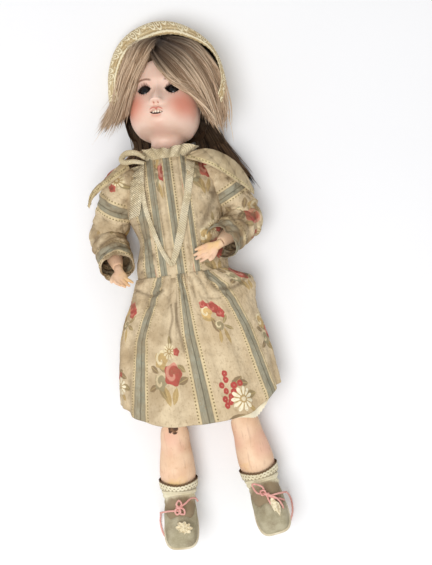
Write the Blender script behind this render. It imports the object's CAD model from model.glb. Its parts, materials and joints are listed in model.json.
import json
import math

import bmesh
import bpy
import numpy as np
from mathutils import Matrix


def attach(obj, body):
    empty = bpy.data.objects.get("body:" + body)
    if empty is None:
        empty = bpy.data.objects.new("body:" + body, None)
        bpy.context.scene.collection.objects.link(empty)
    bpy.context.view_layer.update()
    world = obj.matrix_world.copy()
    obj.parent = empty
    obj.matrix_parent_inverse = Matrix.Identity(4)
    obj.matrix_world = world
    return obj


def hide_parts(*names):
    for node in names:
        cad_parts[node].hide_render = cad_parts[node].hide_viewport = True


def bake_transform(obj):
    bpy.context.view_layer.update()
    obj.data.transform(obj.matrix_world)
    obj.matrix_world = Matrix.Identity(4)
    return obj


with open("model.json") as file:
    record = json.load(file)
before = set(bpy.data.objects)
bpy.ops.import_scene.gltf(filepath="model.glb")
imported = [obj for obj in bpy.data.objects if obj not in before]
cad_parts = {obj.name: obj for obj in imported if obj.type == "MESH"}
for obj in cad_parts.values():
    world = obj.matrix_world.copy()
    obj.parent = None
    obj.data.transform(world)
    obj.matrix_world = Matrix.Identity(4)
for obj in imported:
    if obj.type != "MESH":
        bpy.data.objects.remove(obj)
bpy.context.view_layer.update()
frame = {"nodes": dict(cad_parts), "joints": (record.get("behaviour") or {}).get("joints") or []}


# Camera: straight above the lying doll, with the picture's upright turned a little from its length.
# One millimetre at the doll's middle height is one pixel of the picture. The doll lies on its back: +Z is
# up and is its front, +Y points to its head, +X to its left. Pieces are sized in millimetres.
MM = 0.001
PICTURE_LONG_SIDE = 565
CAMERA_DISTANCE = 1100
MIDDLE_HEIGHT = 40
PICTURE_CENTRE = (31.1, -37.2)
PICTURE_TURN = math.radians(-8)
SENSOR = 36
camera = bpy.data.objects.new("camera", bpy.data.cameras.new("camera"))
camera.data.sensor_width = SENSOR
camera.data.lens = SENSOR * CAMERA_DISTANCE / PICTURE_LONG_SIDE
camera.location = (*(c * MM for c in PICTURE_CENTRE), (MIDDLE_HEIGHT + CAMERA_DISTANCE) * MM)
camera.rotation_euler = (0, 0, PICTURE_TURN)
bpy.context.scene.collection.objects.link(camera)
bpy.context.scene.camera = camera


# Shoe ties: soft pink cotton cord, knotted over the instep of each shoe. A free end of each runs over
# the shoe's outer side and along the surface. Twisted from three plies, and cut bare at the end.
class Signal:
    """A socket of a material's nodes. Sums and products of signals and numbers add Math nodes."""

    def __init__(self, tree, socket=None):
        self.tree = tree
        self.socket = socket

    def node(self, kind, settings, sockets, out=0):
        """Adds a node: first its settings, then the value or link of each socket."""
        made = self.tree.nodes.new("ShaderNode" + kind)
        for name, value in settings.items():
            setattr(made, name, value)
        for name, value in sockets.items():
            if isinstance(value, Signal):
                self.tree.links.new(value.socket, made.inputs[name])
            else:
                made.inputs[name].default_value = value
        return Signal(self.tree, made.outputs[out] if made.outputs else None)

    def maths(self, operation, *others):
        """A Math node on this signal and others."""
        return self.node("Math", {"operation": operation}, dict(enumerate((self, *others))))

    def __add__(self, other):
        return self.maths("ADD", other)

    def __sub__(self, other):
        return self.maths("SUBTRACT", other)

    def __rsub__(self, other):
        return self.node("Math", {"operation": "SUBTRACT"}, {0: other, 1: self})

    def __mul__(self, other):
        return self.maths("MULTIPLY", other)

    def __truediv__(self, other):
        return self.maths("DIVIDE", other)

    def __abs__(self):
        return self.maths("ABSOLUTE")

    __radd__ = __add__
    __rmul__ = __mul__

    def step(self, low, high):
        """0 at low and 1 at high, with a smooth rise between them; low may be the greater."""
        limits = {"Value": self, "From Min": low, "From Max": high}
        return self.node("MapRange", {"interpolation_type": "SMOOTHSTEP"}, limits)

    def mix(self, under, over):
        """Colour under where this signal is 0, and over where it is 1."""
        return self.node("Mix", {"data_type": "RGBA"}, {0: self, 6: under, 7: over}, out=2)

    def parts(self):
        """The three numbers of a vector signal."""
        split = self.node("SeparateXYZ", {}, {0: self})
        return [Signal(self.tree, out) for out in split.socket.node.outputs]

    def noise(self, scale, detail=2.0):
        """Cloudy noise between 0 and 1 at a place, with about scale waves to the millimetre."""
        return self.node("TexNoise", {}, {"Vector": self, "Scale": scale, "Detail": detail})

    def clouds(self, scale, detail, light, dark):
        """Two tones in soft clouds."""
        return self.noise(scale, detail).step(0.3, 0.7).mix(tint(*light), tint(*dark))

    def wave(self, length):
        """A sine wave that repeats at each length of this signal."""
        return (self * (2 * math.pi / length)).maths("SINE")

    def cell(self, pitch):
        """The way from the middle of a cell, where cells repeat at a pitch."""
        return ((self / pitch).maths("FLOORED_MODULO", 1.0) - 0.5) * pitch

    def cloth(self):
        """The place on a piece's cloth, across and along it in millimetres."""
        return self.node("UVMap", {"uv_map": "cloth"}, {}, out="UV").parts()[:2]

    def mark(self):
        """The three numbers that each point of a piece carries, as a vector."""
        return self.node("Attribute", {"attribute_name": "place"}, {}, out="Vector")


def tint(red, green, blue):
    """A colour given as it is seen, 0 to 255 a channel, as the linear values that nodes take."""
    seen = np.array([red, green, blue]) / 255
    linear = np.where(seen <= 0.04045, seen / 12.92, ((seen + 0.055) / 1.055) ** 2.4)
    return (*linear.tolist(), 1.0)


def new_finish(name):
    """A node material, the signal that starts its maths, and the place on the object in millimetres."""
    made = bpy.data.materials.new(name)
    made.use_nodes = True
    made.node_tree.nodes.clear()
    start = Signal(made.node_tree)
    metres = start.node("TexCoord", {}, {}, out="Object")
    place = start.node("VectorMath", {"operation": "SCALE"}, {0: metres, "Scale": 1 / MM})
    return made, start, place


def shade(start, colour, roughness, height=None, depth=0.2, fixed=None):
    """Closes a material: its colour, roughness and a relief of depth millimetres into one shader."""
    sockets = {"Base Color": colour, "Roughness": roughness, **(fixed or {})}
    if height is not None:
        sockets["Normal"] = start.node("Bump", {}, {"Distance": depth * MM, "Height": height})
    shader = start.node("BsdfPrincipled", {}, sockets)
    start.node("OutputMaterial", {}, {"Surface": shader})


def through(points, at):
    """A smooth curve through points, read at places counted in points: between two points it is a
    cubic whose slopes come from their neighbours."""
    points = np.asarray(points, float)
    before, after = 2 * points[:1] - points[1:2], 2 * points[-1:] - points[-2:-1]
    padded = np.concatenate([before, points, after])
    at = np.asarray(at, float)
    first = np.clip(at.astype(int), 0, len(points) - 2)
    part = (at - first).reshape(-1, *[1] * (points.ndim - 1))
    a, b, c, d = (padded[first + i] for i in range(4))
    bend = (2 * a - 5 * b + 4 * c - d) * part**2 + (3 * b - a - 3 * c + d) * part**3
    return 0.5 * (2 * b + (c - a) * part + bend)


def evenly(points, count):
    """count places spread evenly over the points of a curve."""
    return through(points, np.linspace(0, len(points) - 1, count))


NO_MAIN_WAY = (0.61, 0.53, 0.59)


def unit(ways):
    """The same directions with length 1."""
    return ways / np.linalg.norm(ways, axis=-1, keepdims=True)


def tube(path, radius, sides=12, ridges=0, twist=0.0):
    """A round section carried along a path, each ring across the path's direction; ridges stand
    out of the section and wind round it, twist turns to the millimetre."""
    ahead = np.gradient(path, axis=0)
    gone = np.cumsum(np.linalg.norm(ahead, axis=1))[:, None]
    ahead = unit(ahead)
    side = unit(np.cross(ahead, NO_MAIN_WAY))
    up = np.cross(side, ahead)
    angle = np.linspace(0, 2 * np.pi, sides + 1)[None]
    reach = np.broadcast_to(radius, len(path))[:, None] * (1 + 0.1 * np.cos(ridges * angle + twist * gone))
    ring = np.cos(angle)[..., None] * side[:, None] + np.sin(angle)[..., None] * up[:, None]
    return path[:, None] + reach[..., None] * ring


def mesh_piece(name, points, faces, material, uv=None, place=None):
    """A mesh from points in millimetres and faces, welded and facing out. uv is in millimetres of
    cloth, and place is a mark on each point that its material reads."""
    points, faces = np.asarray(points, float), np.asarray(faces)
    corners = points[faces]
    across = np.cross(corners[:, 2] - corners[:, 0], corners[:, 3 % faces.shape[1]] - corners[:, 1])
    if np.sum(across * (corners.mean(1) - points.mean(0))) < 0:
        faces = faces[:, ::-1]
    mesh = bpy.data.meshes.new(name)
    mesh.from_pydata((points * MM).tolist(), [], faces.tolist())
    if uv is not None:
        mesh.uv_layers.new(name="cloth").data.foreach_set("uv", np.asarray(uv, np.float32)[faces].ravel())
    if place is not None:
        mark = mesh.attributes.new("place", "FLOAT_VECTOR", "POINT")
        mark.data.foreach_set("vector", np.asarray(place, np.float32).ravel())
    work = bmesh.new()
    work.from_mesh(mesh)
    bmesh.ops.remove_doubles(work, verts=work.verts, dist=1e-6)
    work.to_mesh(mesh)
    work.free()
    mesh.shade_smooth()
    mesh.materials.append(material)
    made = bpy.data.objects.new(name, mesh)
    bpy.context.scene.collection.objects.link(made)
    return made


def grid_faces(rows, columns):
    """The four-cornered faces between the points of a grid."""
    index = np.arange(rows * columns).reshape(rows, columns)
    return np.stack([index[:-1, :-1], index[:-1, 1:], index[1:, 1:], index[1:, :-1]], -1).reshape(-1, 4)


def grids_piece(name, grids, material):
    """Several grids of points as one piece."""
    faces, count = [], 0
    for grid in grids:
        faces.append(grid_faces(*grid.shape[:2]) + count)
        count += grid.shape[0] * grid.shape[1]
    return mesh_piece(name, np.concatenate([g.reshape(-1, 3) for g in grids]), np.concatenate(faces), material)


def grid_piece(name, points, material, uv=None, place=None):
    """A piece from one grid of points, rows by columns."""
    flat = [None if part is None else part.reshape(-1, part.shape[-1]) for part in (uv, place)]
    return mesh_piece(name, points.reshape(-1, 3), grid_faces(*points.shape[:2]), material, *flat)


def pink_cord():
    """Faded pink cotton with paler fibres."""
    made, start, place = new_finish("pink_cord")
    fibre = place.noise(2.5)
    colour = place.clouds(0.12, 2, (216, 156, 146), (198, 128, 118))
    shade(start, fibre.step(0.35, 0.75).mix(colour, tint(238, 188, 176)), 0.85, fibre, 0.15)
    return made


SIDES = {"left": 1, "right": -1}
TIE_RADIUS = 0.9
PLIES, PLY_TWIST = 3, 1.4
TIE_ROUTE = {
    "left": [(52.8, -254.0, 51.5), (61.6, -252.8, 50.1), (70.4, -254.1, 41.0), (72.5, -258.1, 24.1),
             (74.9, -263.8, 7.7), (77.0, -271.6, 1.7), (76.6, -282.8, 1.7), (72.2, -293.5, 1.7)],
    "right": [(-37.5, -255.7, 51.4), (-46.4, -255.3, 50.0), (-55.1, -257.3, 40.9), (-56.8, -261.4, 24.1),
              (-58.7, -267.4, 7.7), (-60.3, -275.3, 1.7), (-59.0, -286.4, 1.7), (-53.6, -296.7, 1.7)],
}
TIE_KNOT = {"left": (50.9, -251.3, 49.6), "right": (-35.9, -252.9, 49.6)}
PINK_CORD = pink_cord()


def capped(rings):
    """Rings closed at both ends by a point in the middle of the first and of the last."""
    first, last = (np.broadcast_to(ring.mean(0), rings[:1].shape) for ring in (rings[0, :-1], rings[-1, :-1]))
    return np.concatenate([first, rings, last])


# Each loop's tip from the knot, how far it bulges and how high it lifts.
BOW_LOOPS = {
    "left": [((-12, 11, 1.0), 0.24, 3.0), ((-5, 3.5, 2.4), 0.4, 2.5), ((15, -17, -1.0), 0.18, 4.0)],
    "right": [((0.5, 7, 1.0), 0.36, 2.5), ((-3.5, -6, 2.5), 0.4, 2.5), ((4, -7, 2.0), 0.35, 2.5)],
}
BOW_END = {
    "left": [(0, 0, 0.6), (7, -5, 1.8), (13, -7, -1.5), (17.5, -10, -6.5)],
    "right": [(0, 0, 0.6), (6, 3, 1.4), (12, 6.5, -2.5), (16.5, 5.5, -8), (18.5, 1.5, -11)],
}


def bow_loops(side):
    """Loops of cord, each out to its tip and back, a short end, and the band of the knot."""
    knot = np.array(TIE_KNOT[side])
    grids = []
    for tip, bulge, lift in BOW_LOOPS[side]:
        tip = np.array(tip)
        wide = np.array([-tip[1], tip[0], 0]) * bulge
        there, back = tip * 0.5 + wide + (0, 0, lift), tip * 0.5 - wide + (0, 0, lift * 0.8)
        turn = [(0, 0, 0.5), there, tip, back, (0, 0, 0.4)]
        grids.append(tube(evenly(knot + np.array(turn), 48), TIE_RADIUS, 10, PLIES, PLY_TWIST))
    grids.append(capped(tube(evenly(knot + np.array(BOW_END[side]), 40), TIE_RADIUS, 10, PLIES, PLY_TWIST)))
    band = np.array([(-2.6, 0.6, -0.6), (-1.2, 0, 1.9), (1.2, -0.2, 1.9), (2.6, -0.6, -0.6)])
    grids.append(capped(tube(evenly(knot + band, 20), TIE_RADIUS * 1.5, 10, PLIES, PLY_TWIST)))
    return grids


def settle(piece, body, node):
    """Ties a piece to its body, to the solid that it stands for and to its finish."""
    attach(piece, body)
    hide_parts(node)


for side in SIDES:
    route = evenly(TIE_ROUTE[side], 90)
    tie = grid_piece(f"tie_{side}", capped(tube(route, TIE_RADIUS, 12, PLIES, PLY_TWIST)), PINK_CORD)
    bow = grids_piece(f"bow_{side}", bow_loops(side), PINK_CORD)
    for piece, node in ((tie, f"shoe_tie_{side}"), (bow, f"shoe_bow_{side}")):
        settle(piece, f"shin_{side}", node)
    route[0] * MM
    route * MM


# Studio: a plain pale floor under the doll, an even white surround and one broad soft lamp from the
# picture's left, which leaves a faint shadow on the doll's other side.
def studio_floor():
    """Matt white paper."""
    made, start, place = new_finish("studio_floor")
    shade(start, place.noise(0.004).mix(tint(238, 238, 240), tint(245, 245, 246)), 0.9)
    return made


FLOOR_HALF = 4000
FLOOR_Z = -0.4
floor_points = np.array([(-1, -1), (1, -1), (1, 1), (-1, 1)]) * FLOOR_HALF
floor_points = np.column_stack([floor_points, np.full(4, FLOOR_Z)])
floor = mesh_piece("floor", floor_points, [(0, 1, 2, 3)], studio_floor())
# The lamp's size and place are in metres.
SURROUND_LIGHT = 0.62
KEY_WATTS = 15
KEY_SIZE = 0.9
KEY_PLACE = (-0.3, -0.35, 1.45)
KEY_TILT = (math.radians(13), math.radians(-11), 0)
world = bpy.data.worlds.new("studio")
world.use_nodes = True
surround = world.node_tree.nodes["Background"].inputs
surround["Color"].default_value = (1, 1, 1, 1)
surround["Strength"].default_value = SURROUND_LIGHT
bpy.context.scene.world = world
bpy.context.scene.view_settings.view_transform = "Standard"
lamp = bpy.data.objects.new("key_lamp", bpy.data.lights.new("key_lamp", "AREA"))
lamp.data.shape = "DISK"
lamp.data.size = KEY_SIZE
lamp.data.energy = KEY_WATTS
lamp.location = KEY_PLACE
lamp.rotation_euler = KEY_TILT
bpy.context.scene.collection.objects.link(lamp)


# Body and limbs: moulded papier-mache and sawdust composition over turned wood balls, painted a
# peach flesh colour under varnish, strung with elastic. The paint is rubbed, and chipped at the joints.
def composition(name, chip_places=()):
    """Flesh paint: peach clouds, brown rubs, fine cracks, and bare brown chips round given places."""
    made, start, place = new_finish(name)
    cloud = place.noise(0.05, 4).step(0.3, 0.7)
    paint = cloud.mix(tint(236, 204, 172), tint(222, 182, 148))
    blush = place.noise(0.028).step(0.45, 0.75)
    paint = (blush * 0.7).mix(paint, tint(226, 172, 150))
    scratch = start.node("VectorMath", {"operation": "MULTIPLY"}, {0: place, 1: (1.0, 0.12, 1.0)}).noise(0.5, 4)
    paint = (scratch.step(0.54, 0.75) * 0.3).mix(paint, tint(170, 130, 108))
    stain = place.noise(0.035, 5).step(0.56, 0.7) * 0.55
    paint = stain.mix(paint, tint(230, 190, 112))
    rub = place.noise(0.3, 6).step(0.6, 0.72)
    paint = (rub * 0.3).mix(paint, tint(186, 142, 104))
    worn = place.noise(0.35, 4)
    for centre, radius in chip_places:
        away = start.node("VectorMath", {"operation": "DISTANCE"}, {0: place, 1: centre}, out="Value")
        chip = (away + worn * radius * 1.6).step(radius * 1.75, radius * 1.6)
        paint = chip.mix(paint, worn.step(0.4, 0.6).mix(tint(74, 48, 30), tint(120, 84, 54)))
    relief = place.noise(0.6, 5) * 0.5 + cloud
    shade(start, paint, 0.5 + worn * 0.2, relief, 0.2, {"Specular IOR Level": 0.3})
    return made


def limb_frame(origin, way):
    """Where a limb lies: its -Y runs along the limb and its +Z is as near the front as it can be."""
    up = -np.asarray(way, float) / np.linalg.norm(way)
    side = np.cross(up, (0, 0, 1))
    side /= np.linalg.norm(side)
    return np.asarray(origin, float), np.column_stack([side, up, np.cross(side, up)])


def placed(points, where):
    """Points of a piece's own frame, in the doll's frame."""
    origin, turn = where
    return points @ turn.T + origin


def squared(across, out, power):
    """How far a ring reaches in a direction: round at power 2, with corners that fill out past it."""
    return (np.abs(across) ** power + np.abs(out) ** power) ** (-1 / power)


def loft(stations, rows, columns, power=2.0):
    """Rings through stations of [half-width, front, back, y, z], smoothed between them. A ring's
    points lie on an oval whose corners fill out as power grows past 2. The front is half-way round."""
    half, front, back, y, z = evenly(stations, rows).T[..., None]
    angle = np.linspace(-np.pi, np.pi, columns + 1)[None]
    across, out = np.sin(angle), np.cos(angle)
    reach = squared(across, out, power)
    depth = np.where(out > 0, front, back)
    return np.stack([half * across * reach, y + 0 * across, z + depth * out * reach], -1)


def ease(value):
    """A smooth step from 0 to 1 as value goes from 0 to 1."""
    value = np.clip(value, 0, 1)
    return value * value * (3 - 2 * value)


def ease_down(value, start, end):
    """A smooth fall from 1 at start to 0 at end."""
    return ease((end - value) / (end - start))


def bell(value, centre, width):
    """A smooth rise to 1 at a centre, fallen to about a third one width away."""
    return np.exp(-((value - centre) / width) ** 2)


def round_stations(profile):
    """Stations of a limb turned about its own length, from [radius, y] points."""
    return [(radius, radius, radius, y, 0) for radius, y in profile]


# Each joint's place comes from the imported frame.
JOINT = {joint["name"]: np.array(joint["pos_m"]) / MM for joint in frame["joints"]}
KNEE = {side: JOINT[f"knee_bend_{side}"] for side in SIDES}
HIP = {side: JOINT[f"hip_swing_{side}"] for side in SIDES}
LEG = {side: limb_frame(KNEE[side], KNEE[side] - HIP[side]) for side in SIDES}
CALF = [(14, 13.4, 8.5, -5.5, 0), (14.6, 13.8, 10.5, -8.5, 0), (15, 14.2, 13, -16, 0),
        (16.2, 15.4, 15.6, -24, 0), (17.6, 16.8, 17.6, -35, 0), (18, 16.8, 18, -46, 0),
        (15.8, 15, 15.8, -58, 0), (12.2, 12.2, 12.2, -68, 0), (10, 10, 10, -76, 0)]
FLESH = {side: composition(f"composition_{side}", [(tuple(KNEE[side] + (0, 1, 12)), 5.4)] if side == "right"
                           else [(tuple(KNEE[side] + (9, 4, 8)), 2.5)]) for side in SIDES}
for side in SIDES:
    rings = loft(CALF, 120, 72)
    angle = np.linspace(-np.pi, np.pi, 73)[None]
    rings[..., 1] += 14 * ease_down(-rings[..., 1], 5.5, 22) * np.clip(np.cos(angle), 0, 1) ** 0.7
    below_knee = bell(rings[..., 1], -18, 9)
    rings[..., 2] += 1.6 * below_knee * np.exp(-(angle**2) / 0.3) - 1.2 * np.cos(angle) * below_knee
    shin = grid_piece(f"lower_leg_skin_{side}", placed(capped(rings), LEG[side]), FLESH[side])
    settle(shin, f"shin_{side}", f"lower_leg_{side}")


def ball_grid(centre, radius, rows=28, columns=40):
    """A ball: rings from pole to pole about Y."""
    high = np.linspace(-np.pi / 2, np.pi / 2, rows)[:, None]
    angle = np.linspace(0, 2 * np.pi, columns + 1)[None]
    around = [np.cos(high) * np.sin(angle), np.sin(high) + 0 * angle, np.cos(high) * np.cos(angle)]
    return np.asarray(centre) + radius * np.stack(around, -1)


THIGH = [(10.2, -12), (12.6, -14.5), (16.5, -24), (19, -40), (18.2, -58), (15.6, -76), (12, -91),
         (9.4, -97.5), (8, -99.5)]
UPPER_ARM = [(6.6, -9), (8.4, -11.5), (10.6, -18), (11, -24), (9.8, -35), (7.6, -44), (5.4, -46.6)]
FOREARM = [(5.4, -7.4), (7, -9.5), (9.2, -16), (9.5, -22), (8.2, -36), (6.4, -46), (5, -51.5), (3.6, -52.4)]
ELBOW = {side: JOINT[f"elbow_bend_{side}"] for side in SIDES}
SHOULDER = {side: JOINT[f"shoulder_swing_{side}"] for side in SIDES}
WRIST = {side: JOINT[f"wrist_turn_{side}"] for side in SIDES}
for side in SIDES:
    limbs = (
        ("thigh", f"thigh_{side}", THIGH, limb_frame(HIP[side], KNEE[side] - HIP[side])),
        ("upper_arm", f"upper_arm_{side}", UPPER_ARM, limb_frame(SHOULDER[side], ELBOW[side] - SHOULDER[side])),
        ("forearm", f"forearm_{side}", FOREARM, limb_frame(ELBOW[side], WRIST[side] - ELBOW[side])),
    )
    for part, body, profile, where in limbs:
        limb = grid_piece(f"{part}_skin_{side}", placed(capped(loft(round_stations(profile), 60, 48)), where),
                          FLESH[side])
        settle(limb, body, f"{part}_{side}")
    balls = (
        ("knee_ball", f"shin_{side}", KNEE[side], 11.8),
        ("hip_ball", f"hip_{side}", HIP[side], 14.8),
        ("elbow_ball", f"forearm_{side}", ELBOW[side], 8.8),
        ("shoulder_ball", f"shoulder_{side}", SHOULDER[side], 10.8),
    )
    for part, body, centre, radius in balls:
        turned = grid_piece(f"{part}_painted_{side}", ball_grid(centre, radius), FLESH[side])
        settle(turned, body, f"{part}_{side}")


# Hands: small composition hands with spread, slightly curled fingers, dipped in the same paint. The
# palm, fingers and thumb are one body, so the parts are fused and smoothed into one skin.
HAND_LENGTH = 32
PALM = [(4.9, 4.9, 4.9, 4.5, 0), (5.2, 5.2, 5.2, 0, 0), (5.6, 4.6, 4.6, -4, 0), (7.6, 4.2, 4.4, -9, 0),
        (8.4, 3.6, 4.0, -14, 0), (7.4, 3.0, 3.2, -18, 0.4), (4.2, 1.8, 2.0, -20, 0.6)]
# Place across the palm, length and thickness of each finger.
FINGERS = [(-1.5, 0.86, 2.1), (-0.5, 0.99, 2.25), (0.5, 1.0, 2.25), (1.5, 0.9, 2.0)]
FINGER_LEAN = {"left": 0, "right": 6}
HAND_WAY = {"left": (-31, -12, 5), "right": (4, -24, 22)}
HAND_SCALE = 0.86
FUSE = 0.5
for side, way in SIDES.items():
    half, palm = HAND_LENGTH * 0.24, HAND_LENGTH * 0.5
    grids = [capped(loft(PALM, 24, 28, 2.3))]
    for place, reach, thick in FINGERS:
        x, tip, lean = place * half * 0.5, HAND_LENGTH * reach, FINGER_LEAN[side]
        joints = [(x, -palm * 0.8, 0.4), (x * 1.1, -palm * 1.12, 1.2), (x * 1.2 + lean * 0.5, -tip * 0.8, 1.6),
                  (x * 1.24 + lean, -tip, HAND_LENGTH * 0.1)]
        radii = evenly([thick, thick * 0.98, thick * 0.86, thick * 0.55], 16)
        grids.append(capped(tube(evenly(joints, 16), radii, 10)))
    thumb = [(way * half * 0.5, -palm * 0.35, 1), (way * half * 1.05, -palm * 0.7, 2.2),
             (way * half * 1.3, -palm * 1.0, 3.4), (way * half * 1.38, -palm * 1.2, 3.6)]
    grids.append(capped(tube(evenly(thumb, 14), evenly([2.7, 2.6, 2.3, 1.4], 14), 10)))
    where = limb_frame(WRIST[side], HAND_WAY[side])
    rough = grids_piece(f"hand_rough_{side}", [placed(grid * HAND_SCALE, where) for grid in grids], FLESH[side])
    fused = rough.modifiers.new("fuse", "REMESH")
    fused.mode = "VOXEL"
    fused.voxel_size = FUSE * MM
    even = rough.modifiers.new("even", "SMOOTH")
    even.iterations = 5
    depsgraph = bpy.context.evaluated_depsgraph_get()
    skin = bpy.data.meshes.new_from_object(rough.evaluated_get(depsgraph))
    bpy.data.objects.remove(rough)
    skin.shade_smooth()
    skin.materials.clear()
    skin.materials.append(FLESH[side])
    hand = bpy.data.objects.new(f"hand_skin_{side}", skin)
    bpy.context.scene.collection.objects.link(hand)
    settle(hand, f"hand_{side}", f"hand_{side}")


# Socks: machine-knit cream cotton, with a brown scalloped rim and a band of open-work above a turned
# fold. They run on into the shoes, where they are soiled brown.
RIB, STITCH = 1.5, 1.1
HOLE_PITCH, HOLE_ROW = 3.6, 3.2


def span(a, b):
    """The straight distance across two signals at right angles."""
    return (a * a + b * b).maths("SQRT")


def knit():
    """Columns of small V stitches: a wave across and a bent wave along make the loops. Rows of
    small holes lie between the rim and the fold."""
    made, start, place = new_finish("knit")
    across, along = start.cloth()
    rib = across.wave(RIB)
    loop = (along * (2 * math.pi / STITCH) + abs(rib) * 2.0).maths("SINE")
    height = rib * 0.6 + loop * 0.5
    clean = place.noise(0.08, 3).step(0.35, 0.7).mix(tint(238, 230, 202), tint(220, 209, 176))
    colour = (height.step(0.3, -0.9) * 0.3).mix(clean, tint(196, 180, 142))
    row = (along / HOLE_ROW).maths("FLOOR").maths("FLOORED_MODULO", 2.0)
    hole_u = ((across / HOLE_PITCH + row * 0.5).maths("FLOORED_MODULO", 1.0) - 0.5) * HOLE_PITCH
    hole_v = along.cell(HOLE_ROW)
    hole = span(hole_u, hole_v).step(1.15, 0.6) * along.step(9.4, 8.8) * along.step(1.8, 2.4)
    colour = (hole * 0.8).mix(colour, tint(140, 116, 80))
    rim = along.step(2.2, 1.4) + abs(along - 10.6).step(1.6, 0.8) * 0.7
    colour = rim.mix(colour, tint(104, 78, 50))
    soil = (along + place.noise(0.15, 3) * 14).step(25, 37) * 0.85
    colour = soil.mix(colour, tint(126, 102, 72))
    shade(start, colour, 0.95, height - hole * 3, 0.1)
    return made


def gone_along(path):
    """How far along a path each of its points lies, as a column."""
    return np.concatenate([[0], np.cumsum(np.linalg.norm(np.diff(path, axis=0), axis=1))])[:, None]


SOCK_PATH = [(0, -50, 0), (0, -56, 0), (0, -62, 0.3), (0, -68, 1.6), (0, -73, 4), (0, -79, 9.5),
             (0, -84, 15.5), (0, -88, 20)]
SOCK_SIZE = [(18.2, 17.6), (18.0, 17.4), (17, 16.6), (16, 15.6), (15.4, 14.6), (14.8, 12.4), (13.4, 9.6),
             (10, 6)]
SOCK_RADIUS = 17
KNIT = knit()
for side in SIDES:
    rows, columns = 110, 96
    path, size = evenly(SOCK_PATH, rows), evenly(SOCK_SIZE, rows)
    ahead = unit(np.gradient(path, axis=0))
    out = np.cross((1, 0, 0), ahead)
    angle = np.linspace(-np.pi, np.pi, columns + 1)[None]
    gone = gone_along(path)
    fold = 1.5 * ease_down(gone, 9.6, 10.6) + 0.8 * bell(gone, 13.5, 1.6) * (1 + 0.4 * np.sin(3 * angle))
    slack = 0.6 * np.sin(gone * 0.9 + 1.6 * np.sin(angle)) * bell(gone, 18, 7)
    proud = fold + slack + 0.25 * np.cos(40 * angle) * ease_down(gone, 0, 3)
    points = (path[:, None] + (size[:, :1] + proud)[..., None] * np.sin(angle)[..., None] * np.array([1, 0, 0])
              + (size[:, 1:] + proud)[..., None] * np.cos(angle)[..., None] * -out[:, None])
    points[..., 1] += (0.4 * np.sin(36 * angle) - 3.4 * np.cos(angle) ** 3) * ease_down(gone, 0, 16)
    inside = points[:1] * (0.95, 1, 0.95) + (0, -3.5, 0)
    points = np.concatenate([inside, points])
    uv = np.stack(np.broadcast_arrays(angle * SOCK_RADIUS, np.concatenate([[[-3.0]], gone])), -1)
    sock = grid_piece(f"knit_sock_{side}", placed(points, LEG[side]), KNIT, uv=uv)
    settle(sock, f"shin_{side}", f"sock_{side}")


# Shoes: soft grey-green felt slippers with a low open mouth, a stitched edge, a worn nap and a pale
# leather sole. A little cream ribbon is gathered and sewn to each toe.
def felt():
    """Grey-green felt with a brushed nap, brown where it is worn."""
    made, start, place = new_finish("felt")
    nap = place.noise(1.6, 4)
    colour = place.clouds(0.09, 4, (178, 169, 142), (152, 142, 114))
    dirt = place.noise(0.06, 3).step(0.45, 0.7) * 0.6
    colour = dirt.mix(colour, tint(122, 106, 82))
    colour = (nap.step(0.45, 0.75) * 0.6).mix(colour, tint(200, 192, 164))
    shade(start, colour, 0.96, nap + place.noise(0.25, 2) * 3, 0.15)
    return made


def sole_leather():
    """Pale split leather with darker grain."""
    made, start, place = new_finish("sole_leather")
    grain = place.noise(0.9, 5)
    colour = place.clouds(0.07, 3, (226, 216, 190), (196, 180, 146))
    shade(start, grain.step(0.6, 0.75).mix(colour, tint(150, 128, 96)), 0.7, grain, 0.15)
    return made


FOOT_DROOP = math.radians(36)
FOOT_TURN = np.array([[1, 0, 0], [0, math.cos(FOOT_DROOP), -math.sin(FOOT_DROOP)],
                      [0, math.sin(FOOT_DROOP), math.cos(FOOT_DROOP)]])
FOOT = (np.array([0, -70, 0]), FOOT_TURN)
SOLE_Y = -17.7
SOLE_HALF = (16.3, 36.4)
SHOE_MIDDLE = 13
TOE_SQUARE = 3.8


def sole_outline(columns, grow=0.0):
    """The footprint: a rounded oblong, fuller at the toe than at the heel. Column 0 is the toe."""
    angle = np.linspace(0, 2 * np.pi, columns + 1)
    across, ahead = np.sin(angle), np.cos(angle)
    reach = squared(across, ahead, TOE_SQUARE)
    waist = 1 - 0.12 * bell(ahead, -0.3, 0.35) - 0.08 * (ahead < -0.3)
    wide, long = across * reach * (SOLE_HALF[0] + grow) * waist, ahead * reach * (SOLE_HALF[1] + grow)
    return np.stack([wide, long + SHOE_MIDDLE], -1)


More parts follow.
